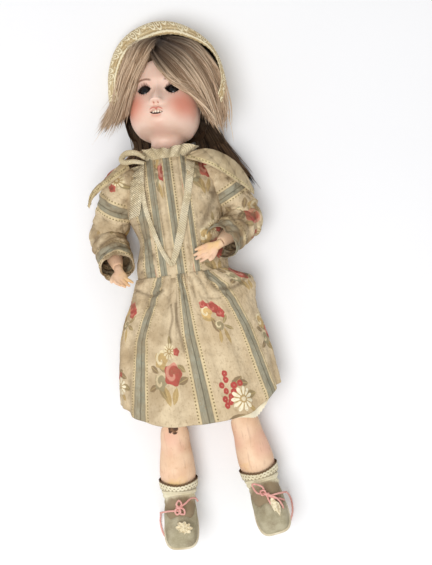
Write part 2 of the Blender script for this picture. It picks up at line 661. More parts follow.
def shoe_upper(rows, columns):
    """The upper: from the footprint each column rises and leans in to the mouth as a quarter of an
    oval does, then turns over the edge and a little way down inside."""
    plan = sole_outline(columns)
    angle = np.linspace(0, 2 * np.pi, columns + 1)
    across, ahead = np.sin(angle), np.cos(angle)
    mouth = np.stack([14.4 * across * (1 - 0.35 * np.clip(ahead, 0, 1) ** 2), 15 * ahead + 1.5], -1)
    top = -2.5 + 6.5 * np.clip(ahead, 0, 1) ** 3 + 4.5 * np.clip(-ahead, 0, 1) ** 2
    rise = np.linspace(0, np.pi / 2, rows)[:, None]
    lean = (1 - np.cos(rise))[..., None]
    flat = plan * (1 - lean) + mouth * lean
    bulge = 1.4 * np.sin(2 * rise) ** 2
    slack = 0.5 * np.sin(9 * angle + 3 * rise) * np.sin(rise) ** 2
    y = SOLE_Y + (top - SOLE_Y) * np.sin(rise) ** 0.9 + slack
    outer = np.stack([flat[..., 0] * (1 + bulge / 20), y, flat[..., 1]], -1)
    edge = outer[-1:] * (0.97, 1, 0.97) + (0, 1.0, 0)
    inner = outer[-1:] * (0.92, 1, 0.92) + (0, -0.6, 0.2)
    deep = outer[-1:] * (0.9, 1, 0.9) + (0, -7, 0.2)
    return np.concatenate([outer, edge, inner, deep])


def shoe_sole(columns):
    """A flat sole with a rounded welt: the footprint at five heights, closed by its middle."""
    layers = [(SOLE_Y + 0.2, -2.0), (SOLE_Y, 0.9), (SOLE_Y - 0.9, 1.5), (SOLE_Y - 1.8, 1.0), (SOLE_Y - 2.1, -1.0)]
    rings = []
    for height, grow in layers:
        plan = sole_outline(columns, grow)
        rings.append(np.column_stack([plan[:, 0], np.full(columns + 1, height), plan[:, 1]]))
    return capped(np.array(rings))


def turn_about(axis, degrees):
    """The matrix that turns about one of the three axes."""
    c, s = math.cos(math.radians(degrees)), math.sin(math.radians(degrees))
    return np.array({"x": [[1, 0, 0], [0, c, -s], [0, s, c]], "y": [[c, 0, s], [0, 1, 0], [-s, 0, c]],
                     "z": [[c, -s, 0], [s, c, 0], [0, 0, 1]]}[axis])


def rosette(size, petals):
    """A gathered ribbon: a ring whose height waves as it goes round, rising to a small middle."""
    angle = np.linspace(0, 2 * np.pi, 97)[None]
    share = np.linspace(0, 1, 14)[:, None]
    wave = 1.5 * share * np.sin(petals * angle) + 2.2 * (1 - share) ** 2 + 0.8
    reach = share * (1 + 0.16 * np.cos(petals * angle + 1) + 0.12 * np.sin(2 * angle))
    return np.stack([size[0] * reach * np.sin(angle), wave, size[1] * reach * np.cos(angle)], -1)


def give_wall(piece, thickness):
    """Cloth thickness, inwards from the face that shows."""
    wall = piece.modifiers.new("wall", "SOLIDIFY")
    wall.thickness = thickness * MM
    wall.offset = -1


def ribbon():
    """Cream cotton ribbon."""
    made, start, place = new_finish("ribbon")
    colour = place.noise(0.4, 3).step(0.35, 0.7).mix(tint(236, 224, 194), tint(202, 184, 146))
    shade(start, colour, 0.8, place.noise(1.5, 2), 0.2)
    return made


# Place on the foot, half sizes and number of gathers.
TRIMMING = {"left": ((6, 0.6, 34), (3.8, 9.5), 3), "right": ((3.5, -0.4, 39), (7.2, 5.6), 8)}
FELT, SOLE_LEATHER, RIBBON = felt(), sole_leather(), ribbon()


def resting(points, low):
    """The points pressed up to a least height, where the heel lies on the surface below."""
    return np.concatenate([points[..., :2], np.maximum(points[..., 2:], low)], -1)


def on_foot(points, side):
    """Points of the foot's own frame, in the doll's frame."""
    return placed(placed(points, FOOT), LEG[side])


UPPER_LOW, SOLE_LOW = 0.9, 0.3
for side in SIDES:
    upper = grid_piece(f"slipper_{side}", resting(on_foot(shoe_upper(40, 96), side), UPPER_LOW), FELT)
    settle(upper, f"shin_{side}", f"shoe_upper_{side}")
    sole = grid_piece(f"slipper_sole_{side}", resting(on_foot(shoe_sole(96), side), SOLE_LOW), SOLE_LEATHER)
    settle(sole, f"shin_{side}", f"shoe_sole_{side}")
    place, size, petals = TRIMMING[side]
    trimming = placed(rosette(size, petals), (np.array(place), turn_about("x", 48)))
    trimming = grid_piece(f"shoe_trimming_{side}", on_foot(trimming, side), RIBBON)
    give_wall(trimming, 0.5)
    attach(trimming, f"shin_{side}")


# Head: hollow bisque porcelain with a flesh tint fired in. Cheeks, lips and brows are china paint
# over the smooth unglazed skin. The eyes and the mouth are cut through.
HEAD = (JOINT["neck_turn"], turn_about("z", -8) @ turn_about("x", -11) @ turn_about("y", -10))
# Rings of [half-width, front, back, y, z], from the neck's foot to the crown's rim.
HEAD_RINGS = [(8, 8, 8, -15, 0), (14.8, 14.8, 14.8, -8, 0), (16.8, 16.8, 16.8, 0, 0), (16, 16, 16, 9, 1),
              (15.6, 16.6, 15.8, 15.5, 2), (17, 21, 17.5, 18.6, 3), (21.5, 28, 20.5, 20, 5),
              (26, 33.4, 24.5, 22, 7.5), (29.4, 36.8, 28, 25.5, 9.5), (32.6, 38.8, 31.2, 31, 10),
              (34.6, 39.4, 33.6, 39, 10), (35, 38.8, 34.6, 48, 10), (35, 38, 35, 60, 10),
              (34.5, 37.6, 34.6, 72, 10), (31.8, 34.6, 32, 84, 10), (28, 30.2, 28, 92, 10),
              (25, 26.8, 25, 96, 10), (21.5, 23, 21.5, 95.4, 10), (21, 22.4, 21, 91, 10)]
HEAD_SQUARE = 2.15
EYE_DEPTH, MOUTH_DEPTH = 7.0, 5.0
EYE_PLACE = (14.0, 58.0, 34.5)
# Half the width of an opening, and how far it opens up and down.
EYE_OPEN = (7.2, 5.7, 4.7)
MOUTH_Y = 32.6
MOUTH_OPEN = (6.8, 3.1, 3.0)


def hump(x, y, centre, width):
    """A smooth round rise, 1 at its centre, that fades over its width."""
    return np.exp(-(((x - centre[0]) / width[0]) ** 2) - ((y - centre[1]) / width[1]) ** 2)


def almond(x, y, centre, half, upper, lower):
    """How far inside a pointed oval a place lies: 1 in its middle, 0 on its edge, less outside."""
    along = 1 - ((x - centre[0]) / half) ** 2
    return along - np.abs(y - centre[1]) / np.where(y > centre[1], upper, lower)


def bisque_form(rows, columns):
    """The head's rings, then a child's features as smooth rises and hollows on the front: round
    cheeks, a short nose, parted lips and a chin. Eyes and mouth sink in inside pointed ovals."""
    spread = np.linspace(-1, 1, columns + 1)
    angle = np.pi * (0.45 * spread + 0.55 * spread**3)
    half, front, back, y, z = evenly(HEAD_RINGS, rows).T[..., None]
    reach = squared(np.sin(angle), np.cos(angle), HEAD_SQUARE)
    depth = np.where(np.cos(angle) > 0, front, back)
    rings = np.stack([half * np.sin(angle) * reach, y + 0 * angle, z + depth * np.cos(angle) * reach], -1)
    x, y, z = np.moveaxis(rings, -1, 0)
    across = np.abs(x)
    rise = 1.0 * hump(across, y, (0, 80), (24, 13)) - 4.0 * hump(across, y, (11.5, 58), (8.5, 6.5))
    rise += 1.1 * hump(across, y, (13, 67.5), (10, 3.5)) + 2.4 * hump(across, y, (19, 39), (11, 11))
    bridge = ease((65 - y) / 21) ** 1.25 * ease((y - 39.6) / 4.2)
    rise += 7.8 * bridge * np.exp(-((across / (3.4 + 2.2 * ease((56 - y) / 12))) ** 2))
    rise += 2.6 * hump(across, y, (4.1, 42.8), (2.2, 2.3)) - 1.6 * hump(across, y, (2.1, 41.0), (1.1, 0.9))
    rise += 2.4 * hump(across, y, (0, 33), (11, 8)) - 1.0 * hump(across, y, (0, 39.2), (1.2, 1.6))
    rise += 1.4 * hump(across, y, (2.2, 36.2), (3.6, 1.4)) + 1.7 * hump(across, y, (0, 29.2), (4.8, 1.7))
    rise += -1.1 * hump(across, y, (0, 26.2), (7, 2)) + 3.0 * hump(across, y, (0, 21.6), (8, 4.6))
    lids = almond(across, y, EYE_PLACE[:2], *EYE_OPEN)
    rise += 0.7 * bell(lids, -0.1, 0.22) - EYE_DEPTH * ease((lids - 0.02) / 0.1)
    lips = almond(x, y, (0, MOUTH_Y), *MOUTH_OPEN)
    rise += -MOUTH_DEPTH * ease((lips - 0.02) / 0.22)
    facing = ease((z - 14) / 14)
    return np.stack([x, y, z + rise * facing], -1)


# Cheeks, their middles, chin, eyelids and nostrils: centre, half-widths, strength and colour.
BLUSHES = [((24, 42), (20, 21), 0.85, (216, 138, 114)), ((25, 42), (11, 13), 0.35, (208, 122, 98)),
           ((0, 20), (13, 8), 0.3, (222, 158, 138)), ((13, 63), (10, 5), 0.25, (206, 156, 134)),
           ((2.1, 41.2), (1.3, 1.0), 0.8, (168, 82, 64))]


def bisque():
    """Fired flesh tint with painted colour, by the place in the head's own frame."""
    made, start, _ = new_finish("bisque")
    local = start.mark()
    x, y, z = local.parts()
    across = abs(x)
    facing = z.step(16, 26)

    def spot(centre, width):
        """Painted colour that fades out from a centre."""
        a, b = (across - centre[0]) / width[0], (y - centre[1]) / width[1]
        return span(a, b).step(1.0, 0.1)

    skin = local.clouds(0.06, 3, (230, 198, 180), (222, 186, 166))
    for centre, width, strength, blush in BLUSHES:
        skin = (spot(centre, width) * facing * strength).mix(skin, tint(*blush))
    curve = (across - 14) * (across - 14) * 0.022
    brow = abs(y + curve - 67.4).step(1.5, 0.4) * abs(across - 14.5).step(9.5, 6)
    hairs = start.node("CombineXYZ", {}, {0: across * 1.6 + y, 1: y * 0.25}).noise(0.9, 3).step(0.3, 0.6)
    skin = (brow * facing * (0.55 + hairs * 0.4)).mix(skin, tint(112, 68, 42))
    lashes = (across * 2.4).maths("SINE").step(0.2, 0.9)
    lid_x, lid_y = (across - EYE_PLACE[0]) / EYE_OPEN[0], y - EYE_PLACE[1]
    outline = 1 - lid_x * lid_x - abs(lid_y) / (0.5 * (EYE_OPEN[1] + EYE_OPEN[2]))
    ring = outline.step(-0.55, -0.1) * (0.4 + lashes * 0.6)
    skin = (ring * facing * 0.6).mix(skin, tint(92, 54, 38))
    skin = (outline.step(-0.06, 0.02) * facing).mix(skin, tint(46, 28, 22))
    bow = (across - 2.2) * (across - 2.2) * 0.09
    upper = abs(y + bow - 36.2).step(1.1, 0.5) * across.step(7.4, 5.0)
    skin = (upper * facing * 0.85).mix(skin, tint(194, 104, 88))
    lower = abs(y - 28.8 - across * across * 0.035).step(1.7, 0.7) * across.step(6.0, 3.5)
    skin = (lower * facing * 0.6).mix(skin, tint(216, 146, 126))
    gap = (y - MOUTH_Y) / 2.4
    inside = 1 - (x / MOUTH_OPEN[0]) * (x / MOUTH_OPEN[0]) - abs(gap)
    skin = (inside.step(0.02, 0.16) * z.step(56, 49) * facing).mix(skin, tint(58, 20, 16))
    shade(start, skin, 0.46, local.noise(1.6, 3), 0.03, {"Subsurface Weight": 0.12, "Subsurface Scale": 0.002,
          "Subsurface Radius": (1.0, 0.4, 0.25)})
    return made


local_head = bisque_form(300, 300)
head = grid_piece("bisque_face", placed(local_head, HEAD), bisque(), place=local_head)
settle(head, "head", "bisque_head")


# Eyes and teeth: blown dark glass eyes that rock on a weighted wire, with lids painted on their tops
# that come down as the doll is laid back; four little porcelain teeth set behind the upper lip.
def eye_glass():
    """By direction from the eye's middle: pupil, threaded dark iris, white, and a painted lid above."""
    made, start, _ = new_finish("eye_glass")
    way = start.mark()
    x, y, _ = way.parts()
    off = span(x, y)
    threads = x.maths("ARCTAN2", y) * 9
    thread = threads.maths("SINE") * 0.5 + way.noise(9.0, 4)
    iris = thread.step(0.2, 1.2).mix(tint(14, 11, 10), tint(40, 30, 24))
    colour = off.step(0.78, 0.70).mix(tint(120, 114, 106), tint(9, 8, 8))
    colour = off.step(0.66, 0.58).mix(colour, iris)
    colour = off.step(0.27, 0.23).mix(colour, tint(3, 3, 3))
    colour = (y.step(0.6, 0.64)).mix(colour, tint(214, 160, 136))
    shade(start, colour, 0.07, None, 0, {"Specular IOR Level": 0.35})
    return made


EYE_RADIUS = 7.9
GLASS = eye_glass()
for side, way in SIDES.items():
    ball = ball_grid((0, 0, 0), 1.0, 48, 64)
    centre = np.array(EYE_PLACE) * (way, 1, 1)
    eye = grid_piece(f"glass_eye_{side}", placed(ball * EYE_RADIUS + centre, HEAD), GLASS, place=ball)
    settle(eye, "eyes", f"eye_{side}")


def tooth_porcelain():
    """Glazed white porcelain."""
    made, start, place = new_finish("tooth_porcelain")
    colour = place.noise(0.4).mix(tint(246, 240, 226), tint(232, 220, 198))
    shade(start, colour, 0.15, None, 0, {"Coat Weight": 0.6})
    return made


teeth = []
for number, offset in enumerate((-3.7, -1.3, 1.3, 3.7)):
    wide = 1.3 if number in (1, 2) else 1.1
    bead = ball_grid((0, 0, 0), 1.0, 16, 20)
    bead = np.sign(bead) * np.abs(bead) ** 0.7 * (wide * 0.92, 1.2, 0.9)
    teeth.append(placed(bead + (offset, MOUTH_Y + 1.3, 47.4 - 0.06 * offset**2), HEAD))
teeth = grids_piece("teeth_row", teeth, tooth_porcelain())
settle(teeth, "head", "upper_teeth")


# Hidden works: the strung body's shell, the neck's turned button and wire hook, the elastics, the
# cork pate and the eyes' plaster, wire and lead keep their own solids and only take a finish.
def plain_finish(name, light, dark, scale, roughness, metal=0.0):
    """A finish of two clouded colours with a fine grain."""
    made, start, place = new_finish(name)
    grain = place.noise(scale * 6, 4)
    colour = (place.noise(scale, 4) + grain * 0.3).step(0.45, 0.85).mix(tint(*light), tint(*dark))
    shade(start, colour, roughness, grain, 0.1, {"Metallic": metal})
    return made


HIDDEN = [
    (plain_finish("turned_wood", (196, 156, 108), (150, 108, 68), 0.2, 0.6), ["neck_button"]),
    (plain_finish("wire", (140, 136, 130), (90, 80, 70), 0.4, 0.45, 1.0), ["neck_hook", "eye_yoke"]),
    (plain_finish("lead", (112, 114, 120), (74, 76, 82), 0.3, 0.6, 0.8), ["eye_weight"]),
    (plain_finish("plaster", (232, 226, 214), (206, 196, 178), 0.3, 0.9), ["eye_saddle"]),
    (plain_finish("cork", (184, 140, 92), (120, 82, 48), 0.5, 0.9), ["crown_pate"]),
    (plain_finish("elastic", (226, 216, 198), (188, 172, 146), 0.6, 0.85),
     ["chest_elastic", "leg_elastic", *(f"{limb}_elastic_{side}" for limb in ("arm", "thigh") for side in SIDES)]),
    (composition("composition_body"), ["torso_shell"]),
]
for finish, nodes in HIDDEN:
    for node in nodes:
        frame["nodes"][node].data.materials.clear()
        frame["nodes"][node].data.materials.append(finish)


# Wig: long ash-blond mohair on a gauze cap, parted high and brushed to both sides, with a fringe swept
# over one brow. The ends lie loose beside the cheeks and behind the shoulders, over a dark under-layer.
def mohair(name, light, middle, dark, root):
    """By each lock's own tone and the way along it: darker at the root and in the deep locks."""
    made, start, _ = new_finish(name)
    tone, along, deep = start.mark().parts()
    colour = tone.step(0.25, 1.0).mix(tint(*middle), tint(*light))
    colour = (along.step(root, 0.03) * 0.85).mix(colour, tint(*dark))
    colour = (deep.step(0.4, 0.0) * 0.75).mix(colour, tint(*dark))
    shade(start, colour, 0.5, None, 0, {"Specular IOR Level": 0.35})
    return made


CROWN_Y = 62
LOCK_POINTS = 16
chance = np.random.default_rng(1890)


def locks(guides, count, stations, lift, fray, thick):
    """Fine tapered locks spread between neighbouring guides: each follows a curve between two of
    them, lies at its own depth, and strays more towards its end."""
    lines = np.stack([evenly(guide, stations) for guide in guides])
    between = chance.uniform(0, len(lines) - 1, count)
    paths = through(lines, between)
    clump = (0.5 + 0.5 * np.sin(between * 15 + 3 * np.sin(between * 4))).reshape(-1, 1, 1)
    share = np.linspace(0, 1, stations)[None, :, None]
    away = unit(paths - np.array([0, CROWN_Y, 0]))
    deep = np.clip(0.6 * clump + chance.uniform(-0.1, 0.5, (count, 1, 1)), 0, 1)
    paths = paths + away * (deep - 0.6) * lift
    paths += chance.normal(0, fray, (count, 1, 3)) * (0.3 + share**1.5)
    paths += (paths[:, -1:] - paths[:, :1]) * chance.normal(-0.02, 0.1, (count, 1, 1)) * share
    paths += away * np.sin(share * chance.uniform(5, 11, (count, 1, 1)) + chance.uniform(0, 6, (count, 1, 1))) * 0.5
    ahead = np.gradient(paths, axis=1)
    side = unit(np.cross(ahead, away))
    up = unit(np.cross(side, ahead))
    radius = thick * chance.uniform(0.6, 1.4, (count, 1, 1)) * np.sqrt(np.clip(4 * share * (1.02 - share), 0, 1))
    radius[:, [0, -1]] = 0
    turn = np.array([0, 2 * np.pi / 3, 4 * np.pi / 3])[None, None, :, None]
    ring = np.cos(turn) * side[:, :, None] + np.sin(turn) * up[:, :, None]
    points = paths[:, :, None] + radius[:, :, None] * ring
    tone = np.clip(0.55 * clump + chance.uniform(-0.15, 0.6, (count, 1, 1)), 0, 1)[..., None]
    marks = np.concatenate(np.broadcast_arrays(tone, share[..., None], deep[..., None]), -1)
    return points, np.broadcast_to(marks, points.shape)


def locks_piece(name, bundles, material):
    """Bundles of locks as one piece."""
    points, marks, faces, count = [], [], [], 0
    for bundle, mark in bundles:
        number, stations, around = bundle.shape[:3]
        index = np.arange(number * stations * around).reshape(number, stations, around) + count
        turned = np.roll(index, -1, axis=2)
        quads = np.stack([index[:, :-1], turned[:, :-1], turned[:, 1:], index[:, 1:]], -1)
        points.append(bundle.reshape(-1, 3))
        marks.append(mark.reshape(-1, 3))
        faces.append(quads.reshape(-1, 4))
        count += index.size
    return mesh_piece(name, np.concatenate(points), np.concatenate(faces), material, place=np.concatenate(marks))


# Guide curves in the head's frame, each from its root to its end.
FRINGE = [
    [(-9, 98, 43), (1.5, 77, 50.2), (13.5, 63, 49), (28, 59, 40), (35, 55, 30.5), (38, 49, 22.7)],
    [(-5.5, 105, 39.5), (18.9, 80, 44.6), (32.3, 62.6, 34.8), (37.9, 50, 20), (40, 44, 17), (41.1, 40.5, 14)],
    [(-3.5, 113, 32), (25.8, 91, 39.2), (39.7, 70, 31), (45, 53.6, 18), (46, 45, 15), (46, 38.5, 12)],
    [(-3, 120, 22), (29.8, 104, 28), (46, 84, 21), (51.5, 64, 15), (52, 52, 13), (49.5, 40, 11)],
    [(-1, 122, 18), (32, 111, 20), (51, 87, 17), (56.5, 67, 12), (56.5, 57, 11), (54, 46, 10)],
]
BRUSHED_RIGHT = [
    [(-2, 117, 25), (-5, 102, 39.5), (-11.5, 87, 46), (-20.4, 67.8, 46), (-26.9, 51.1, 40), (-31.6, 40.6, 30)],
    [(-2.5, 120, 22), (-16.3, 106, 34.5), (-24.8, 85, 40), (-33.2, 65.1, 34), (-41.6, 52, 22),
     (-50.1, 40, 16)],
    [(-4, 122, 19), (-29.1, 111, 23), (-38, 95, 24), (-41, 78.6, 22), (-45, 60.2, 17), (-57.5, 43.5, 14)],
    [(-6, 122, 15), (-34, 110, 17), (-41, 95, 18), (-43.5, 80.7, 17), (-46.5, 64, 15), (-57, 49, 13)],
]
BEHIND_LEFT = [
    [(20, 46, -6), (24, 34, -18), (25, 20, -28), (27, 8, -34), (31, -4, -38), (36, -14, -42)],
    [(30, 42, 0), (36, 31, -16), (39, 25.3, -36.6), (43.2, 14.9, -43.7), (50.2, 2.3, -48.7),
     (57.2, -10.3, -53.8)],
    [(40, 38, 2), (45, 31, -16), (46.4, 28.5, -38.6), (53.2, 16.1, -44.5), (61.1, 3.7, -49.8),
     (69.1, -8.8, -55)],
    [(47, 34, 5), (51, 30, -14), (51.6, 28, -41.1), (60.3, 16, -47.5), (68, 5, -51.5), (74, -5, -55.7)],
]
BEHIND_RIGHT = [
    [(-20, 46, -4), (-24, 32, -12), (-24, 18, -20), (-26, 6, -25), (-30, -5, -28), (-35, -13, -29.5)],
    [(-30, 44, 2), (-31, 30, -8), (-30.7, 18.6, -18.9), (-36.8, 9.2, -25.8), (-42.3, 1, -28.3),
     (-47.6, -7.4, -29.9)],
    [(-38, 42, 4), (-38, 30, -8), (-37.2, 20.1, -19.3), (-43, 11, -24.4), (-49, 2, -27), (-55, -7, -28.7)],
]
ASH_BLOND = mohair("ash_blond", (228, 203, 174), (172, 140, 110), (60, 42, 32), 0.42)
DEEP_BLOND = mohair("deep_blond", (168, 136, 102), (104, 76, 54), (22, 14, 11), 0.8)
angle = np.linspace(-np.pi, np.pi, 121)[None]
low = 24 + 62 * ease((1.75 - np.abs(angle)) / 0.65)
bottom = np.arcsin((low - CROWN_Y) / 56)
high = bottom + (np.pi / 2 - bottom) * np.linspace(0, 1, 50)[:, None]
reach = np.where(high > 0, np.cos(high), 1 - 0.3 * np.sin(high) ** 2)
depth = np.where(np.cos(angle) > 0, 42, 38)
cap = np.stack([45 * reach * np.sin(angle), CROWN_Y + 57 * np.sin(high), 6 + depth * reach * np.cos(angle)], -1)
cap = resting(placed(cap, HEAD), 2.4)
marks = np.stack(np.broadcast_arrays(0.5 + 0.5 * np.sin(angle * 60), high * 0 + 0.3, high * 0 + 0.3), -1)
cap = grid_piece("wig_cap", cap, DEEP_BLOND, place=marks)


def on_head(bundle):
    """A bundle of locks moved to the head's place and kept off the surface below."""
    points, mark = bundle
    return resting(placed(points, HEAD), 1.2), mark


# Each bundle: guides, number of locks, points along one, how far they lift and fray, and thickness.
fringe = locks_piece("wig_fringe", [on_head(locks(FRINGE, 2060, LOCK_POINTS, 6.5, 0.9, 0.38)),
                                    on_head(locks(FRINGE, 140, LOCK_POINTS, 7, 2.8, 0.2))], ASH_BLOND)
brushed = locks_piece("wig_brushed", [on_head(locks(BRUSHED_RIGHT, 1900, LOCK_POINTS, 6.0, 0.9, 0.36)),
                                      on_head(locks(BRUSHED_RIGHT, 120, LOCK_POINTS, 7, 3.0, 0.18))], ASH_BLOND)
under = locks_piece("wig_under", [on_head(locks(BEHIND_LEFT, 900, LOCK_POINTS, 6, 2.0, 0.36)),
                                  on_head(locks(BEHIND_RIGHT, 600, LOCK_POINTS, 6, 2.0, 0.36))], DEEP_BLOND)
for piece in (cap, fringe, brushed):
    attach(piece, "head")
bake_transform(under)
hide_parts("wig")
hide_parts("hair_fall_left", "hair_fall_right")


# Bonnet: a stiff cream straw-braid bonnet with a wide brim framing the face. Its front is a band of
# scroll-worked cord lace, turned in at the edge, and its flat back rests on the surface.
SCROLL_PITCH = 8.2


def straw_lace():
    """Scrolls of raised cord in a row round the brim: spirals, each in its own cell of the cloth."""
    made, start, place = new_finish("straw_lace")
    u, v = start.cloth()
    a = u.cell(SCROLL_PITCH)
    b = v - 9 + u.wave(29) * 1.8
    far = span(a, b)
    turn = a.maths("ARCTAN2", b) / (2 * math.pi)
    coil = (far / 2.5 + turn + place.noise(0.1) * 0.5).maths("FLOORED_MODULO", 1.0)
    cord = abs(coil - 0.5).step(0.34, 0.16) * far.step(4.6, 3.8)
    braid = (v.wave(2.1) + u.wave(1.6) * 0.6) * 0.5
    edge = abs(v - 16.2 + place.noise(0.5) * 1.2).step(1.2, 0.6) + abs(v - 2.4).step(1.4, 0.6)
    pearl = start.node("TexVoronoi", {}, {"Vector": place, "Scale": 0.42}).step(0.5, 0.25)
    raised = cord + edge * 0.7 + pearl * 0.5 * (1 - cord)
    age = place.clouds(0.06, 4, (220, 198, 153), (198, 171, 124))
    ground = (braid.step(0.4, -0.8) * 0.65).mix(age, tint(146, 114, 70))
    colour = (raised.step(0.2, 0.8) * 0.95).mix(ground, tint(250, 237, 202))
    colour = (place.noise(1.2, 3).step(0.6, 0.75) * 0.5).mix(colour, tint(140, 108, 66))
    shade(start, colour, 0.88, raised + braid * 0.2, 0.6)
    return made


def bonnet_lining():
    """The bonnet's dark inside."""
    made, start, place = new_finish("bonnet_lining")
    shade(start, place.noise(0.2, 3).mix(tint(70, 54, 38), tint(96, 76, 54)), 0.95)
    return made


BONNET_ROUND = math.radians(112)
BONNET_LEAN = 0.15
BONNET_MIDDLE, BONNET_RADIUS, BRIM_WIDTH = 75, 66, 20
BONNET_BACK = [(0, 70, 0, 0, -29), (0, 70, 24, 28, -28.8), (0, 71, 42, 50, -24), (0, 73, 54, 62.5, -13),
               (0.5, 75, 59, 67.6, -2), (0.5, 75, 60, 68.6, 4)]
BONNET_BRIM = [(0.5, 75, 59.6, 68.1, -1), (0.5, 75, 60.6, 69.3, 5), (1.2, 75.2, 60.4, 68.1, 11),
               (2.6, 75.4, 59, 63.1, 17), (4.2, 75.8, 56, 54.7, 21.5), (5.6, 76, 53.4, 48.4, 24),
               (6, 76, 52.6, 46.6, 22.5)]


def bonnet_grid(stations, rows, columns, wave=0.0):
    """Oval rings about the back of the head, open below the ears, through stations of [centre x,
    centre y, half-width, half-height, z]; wave scallops the last rings."""
    x, y, half, tall, z = evenly(stations, rows).T[..., None]
    angle = np.linspace(-BONNET_ROUND, BONNET_ROUND, columns)[None]
    share = np.linspace(0, 1, rows)[:, None]
    swell = 1 + 0.012 * np.sin(angle * 7 + 1) * share + wave * np.sin(angle * 62) * share**6
    points = np.stack([x + half * np.sin(angle) * swell, y + tall * np.cos(angle) * swell, z + 0 * angle], -1)
    turned_in = 1 - 0.6 * np.clip(points[..., 2] / 23, 0, 1) ** 2
    points[..., 0] -= BONNET_LEAN * np.clip(points[..., 1] - BONNET_MIDDLE, 0, None) * turned_in
    laid = np.broadcast_arrays(angle * BONNET_RADIUS, share * BRIM_WIDTH)
    return resting(placed(points, HEAD), 0.5), np.stack(laid, -1)


STRAW_LACE, BONNET_LINING = straw_lace(), bonnet_lining()
for name, node, stations, wave in (("bonnet_crown", "bonnet", BONNET_BACK, 0),
                                   ("bonnet_brim", "bonnet_lace", BONNET_BRIM, 0.006)):
    points, uv = bonnet_grid(stations, 60, 220, wave)
    piece = grid_piece(name, points, STRAW_LACE, uv=uv)
    give_wall(piece, 0.9)
    if node == "bonnet":
        piece.data.materials.append(BONNET_LINING)
        piece.modifiers["wall"].material_offset = 1
    settle(piece, "head", node)


# Dress bodice: printed cotton, tucked down the front inside a lace V, plain at the sides and back.
# The print is faded stripes of grey-blue with dotted yellow edges, and bouquets between them.
STRIPE_PITCH, STRIPE_PLACE, STRIPE_HALF = 72, 8, 5.6
EDGING_AT, DOTS_AT, DOT_PITCH = 8.0, 8.8, 2.8
MOTIF_SPREAD, MOTIF_SCALE, MOTIF_START, MOTIF_SHIFT = 80, 1.16, 55, 28
BOUQUETS_FROM, BOUQUETS_TO, BOUQUETS_BESIDE = 60, 150, 84


def stripes(u, v, place, slub, colour):
    """Faded bands of two greys with dark lines, a pale edging and a row of dots on both sides. Also
    the number of stripes passed on the way across."""
    turn = (u - STRIPE_PLACE) / STRIPE_PITCH
    off = ((turn + 0.5).maths("FLOORED_MODULO", 1.0) - 0.5) * STRIPE_PITCH
    width = abs(off)
    fade = 0.55 + place.noise(0.08, 3) * 0.45
    edging = abs(width - EDGING_AT).step(2.2, 1.4)
    colour = (edging * 0.45).mix(colour, tint(230, 211, 160))
    band = width.step(STRIPE_HALF + 0.5, STRIPE_HALF - 0.5) * fade
    grey = (off - 1).step(-0.6, 0.6).mix(tint(150, 153, 137), tint(132, 137, 121))
    colour = band.mix(colour, slub.step(0.3, 0.8).mix(grey, tint(118, 120, 104)))
    lines = abs(off - 1).step(0.9, 0.3) + abs(width - STRIPE_HALF).step(0.8, 0.2) * 0.6
    colour = (lines * 0.75).mix(colour, tint(92, 90, 74))
    dots = span(width - DOTS_AT, v.cell(DOT_PITCH)).step(0.95, 0.5)
    colour = (dots * 0.85).mix(colour, tint(98, 78, 46))
    return colour, turn


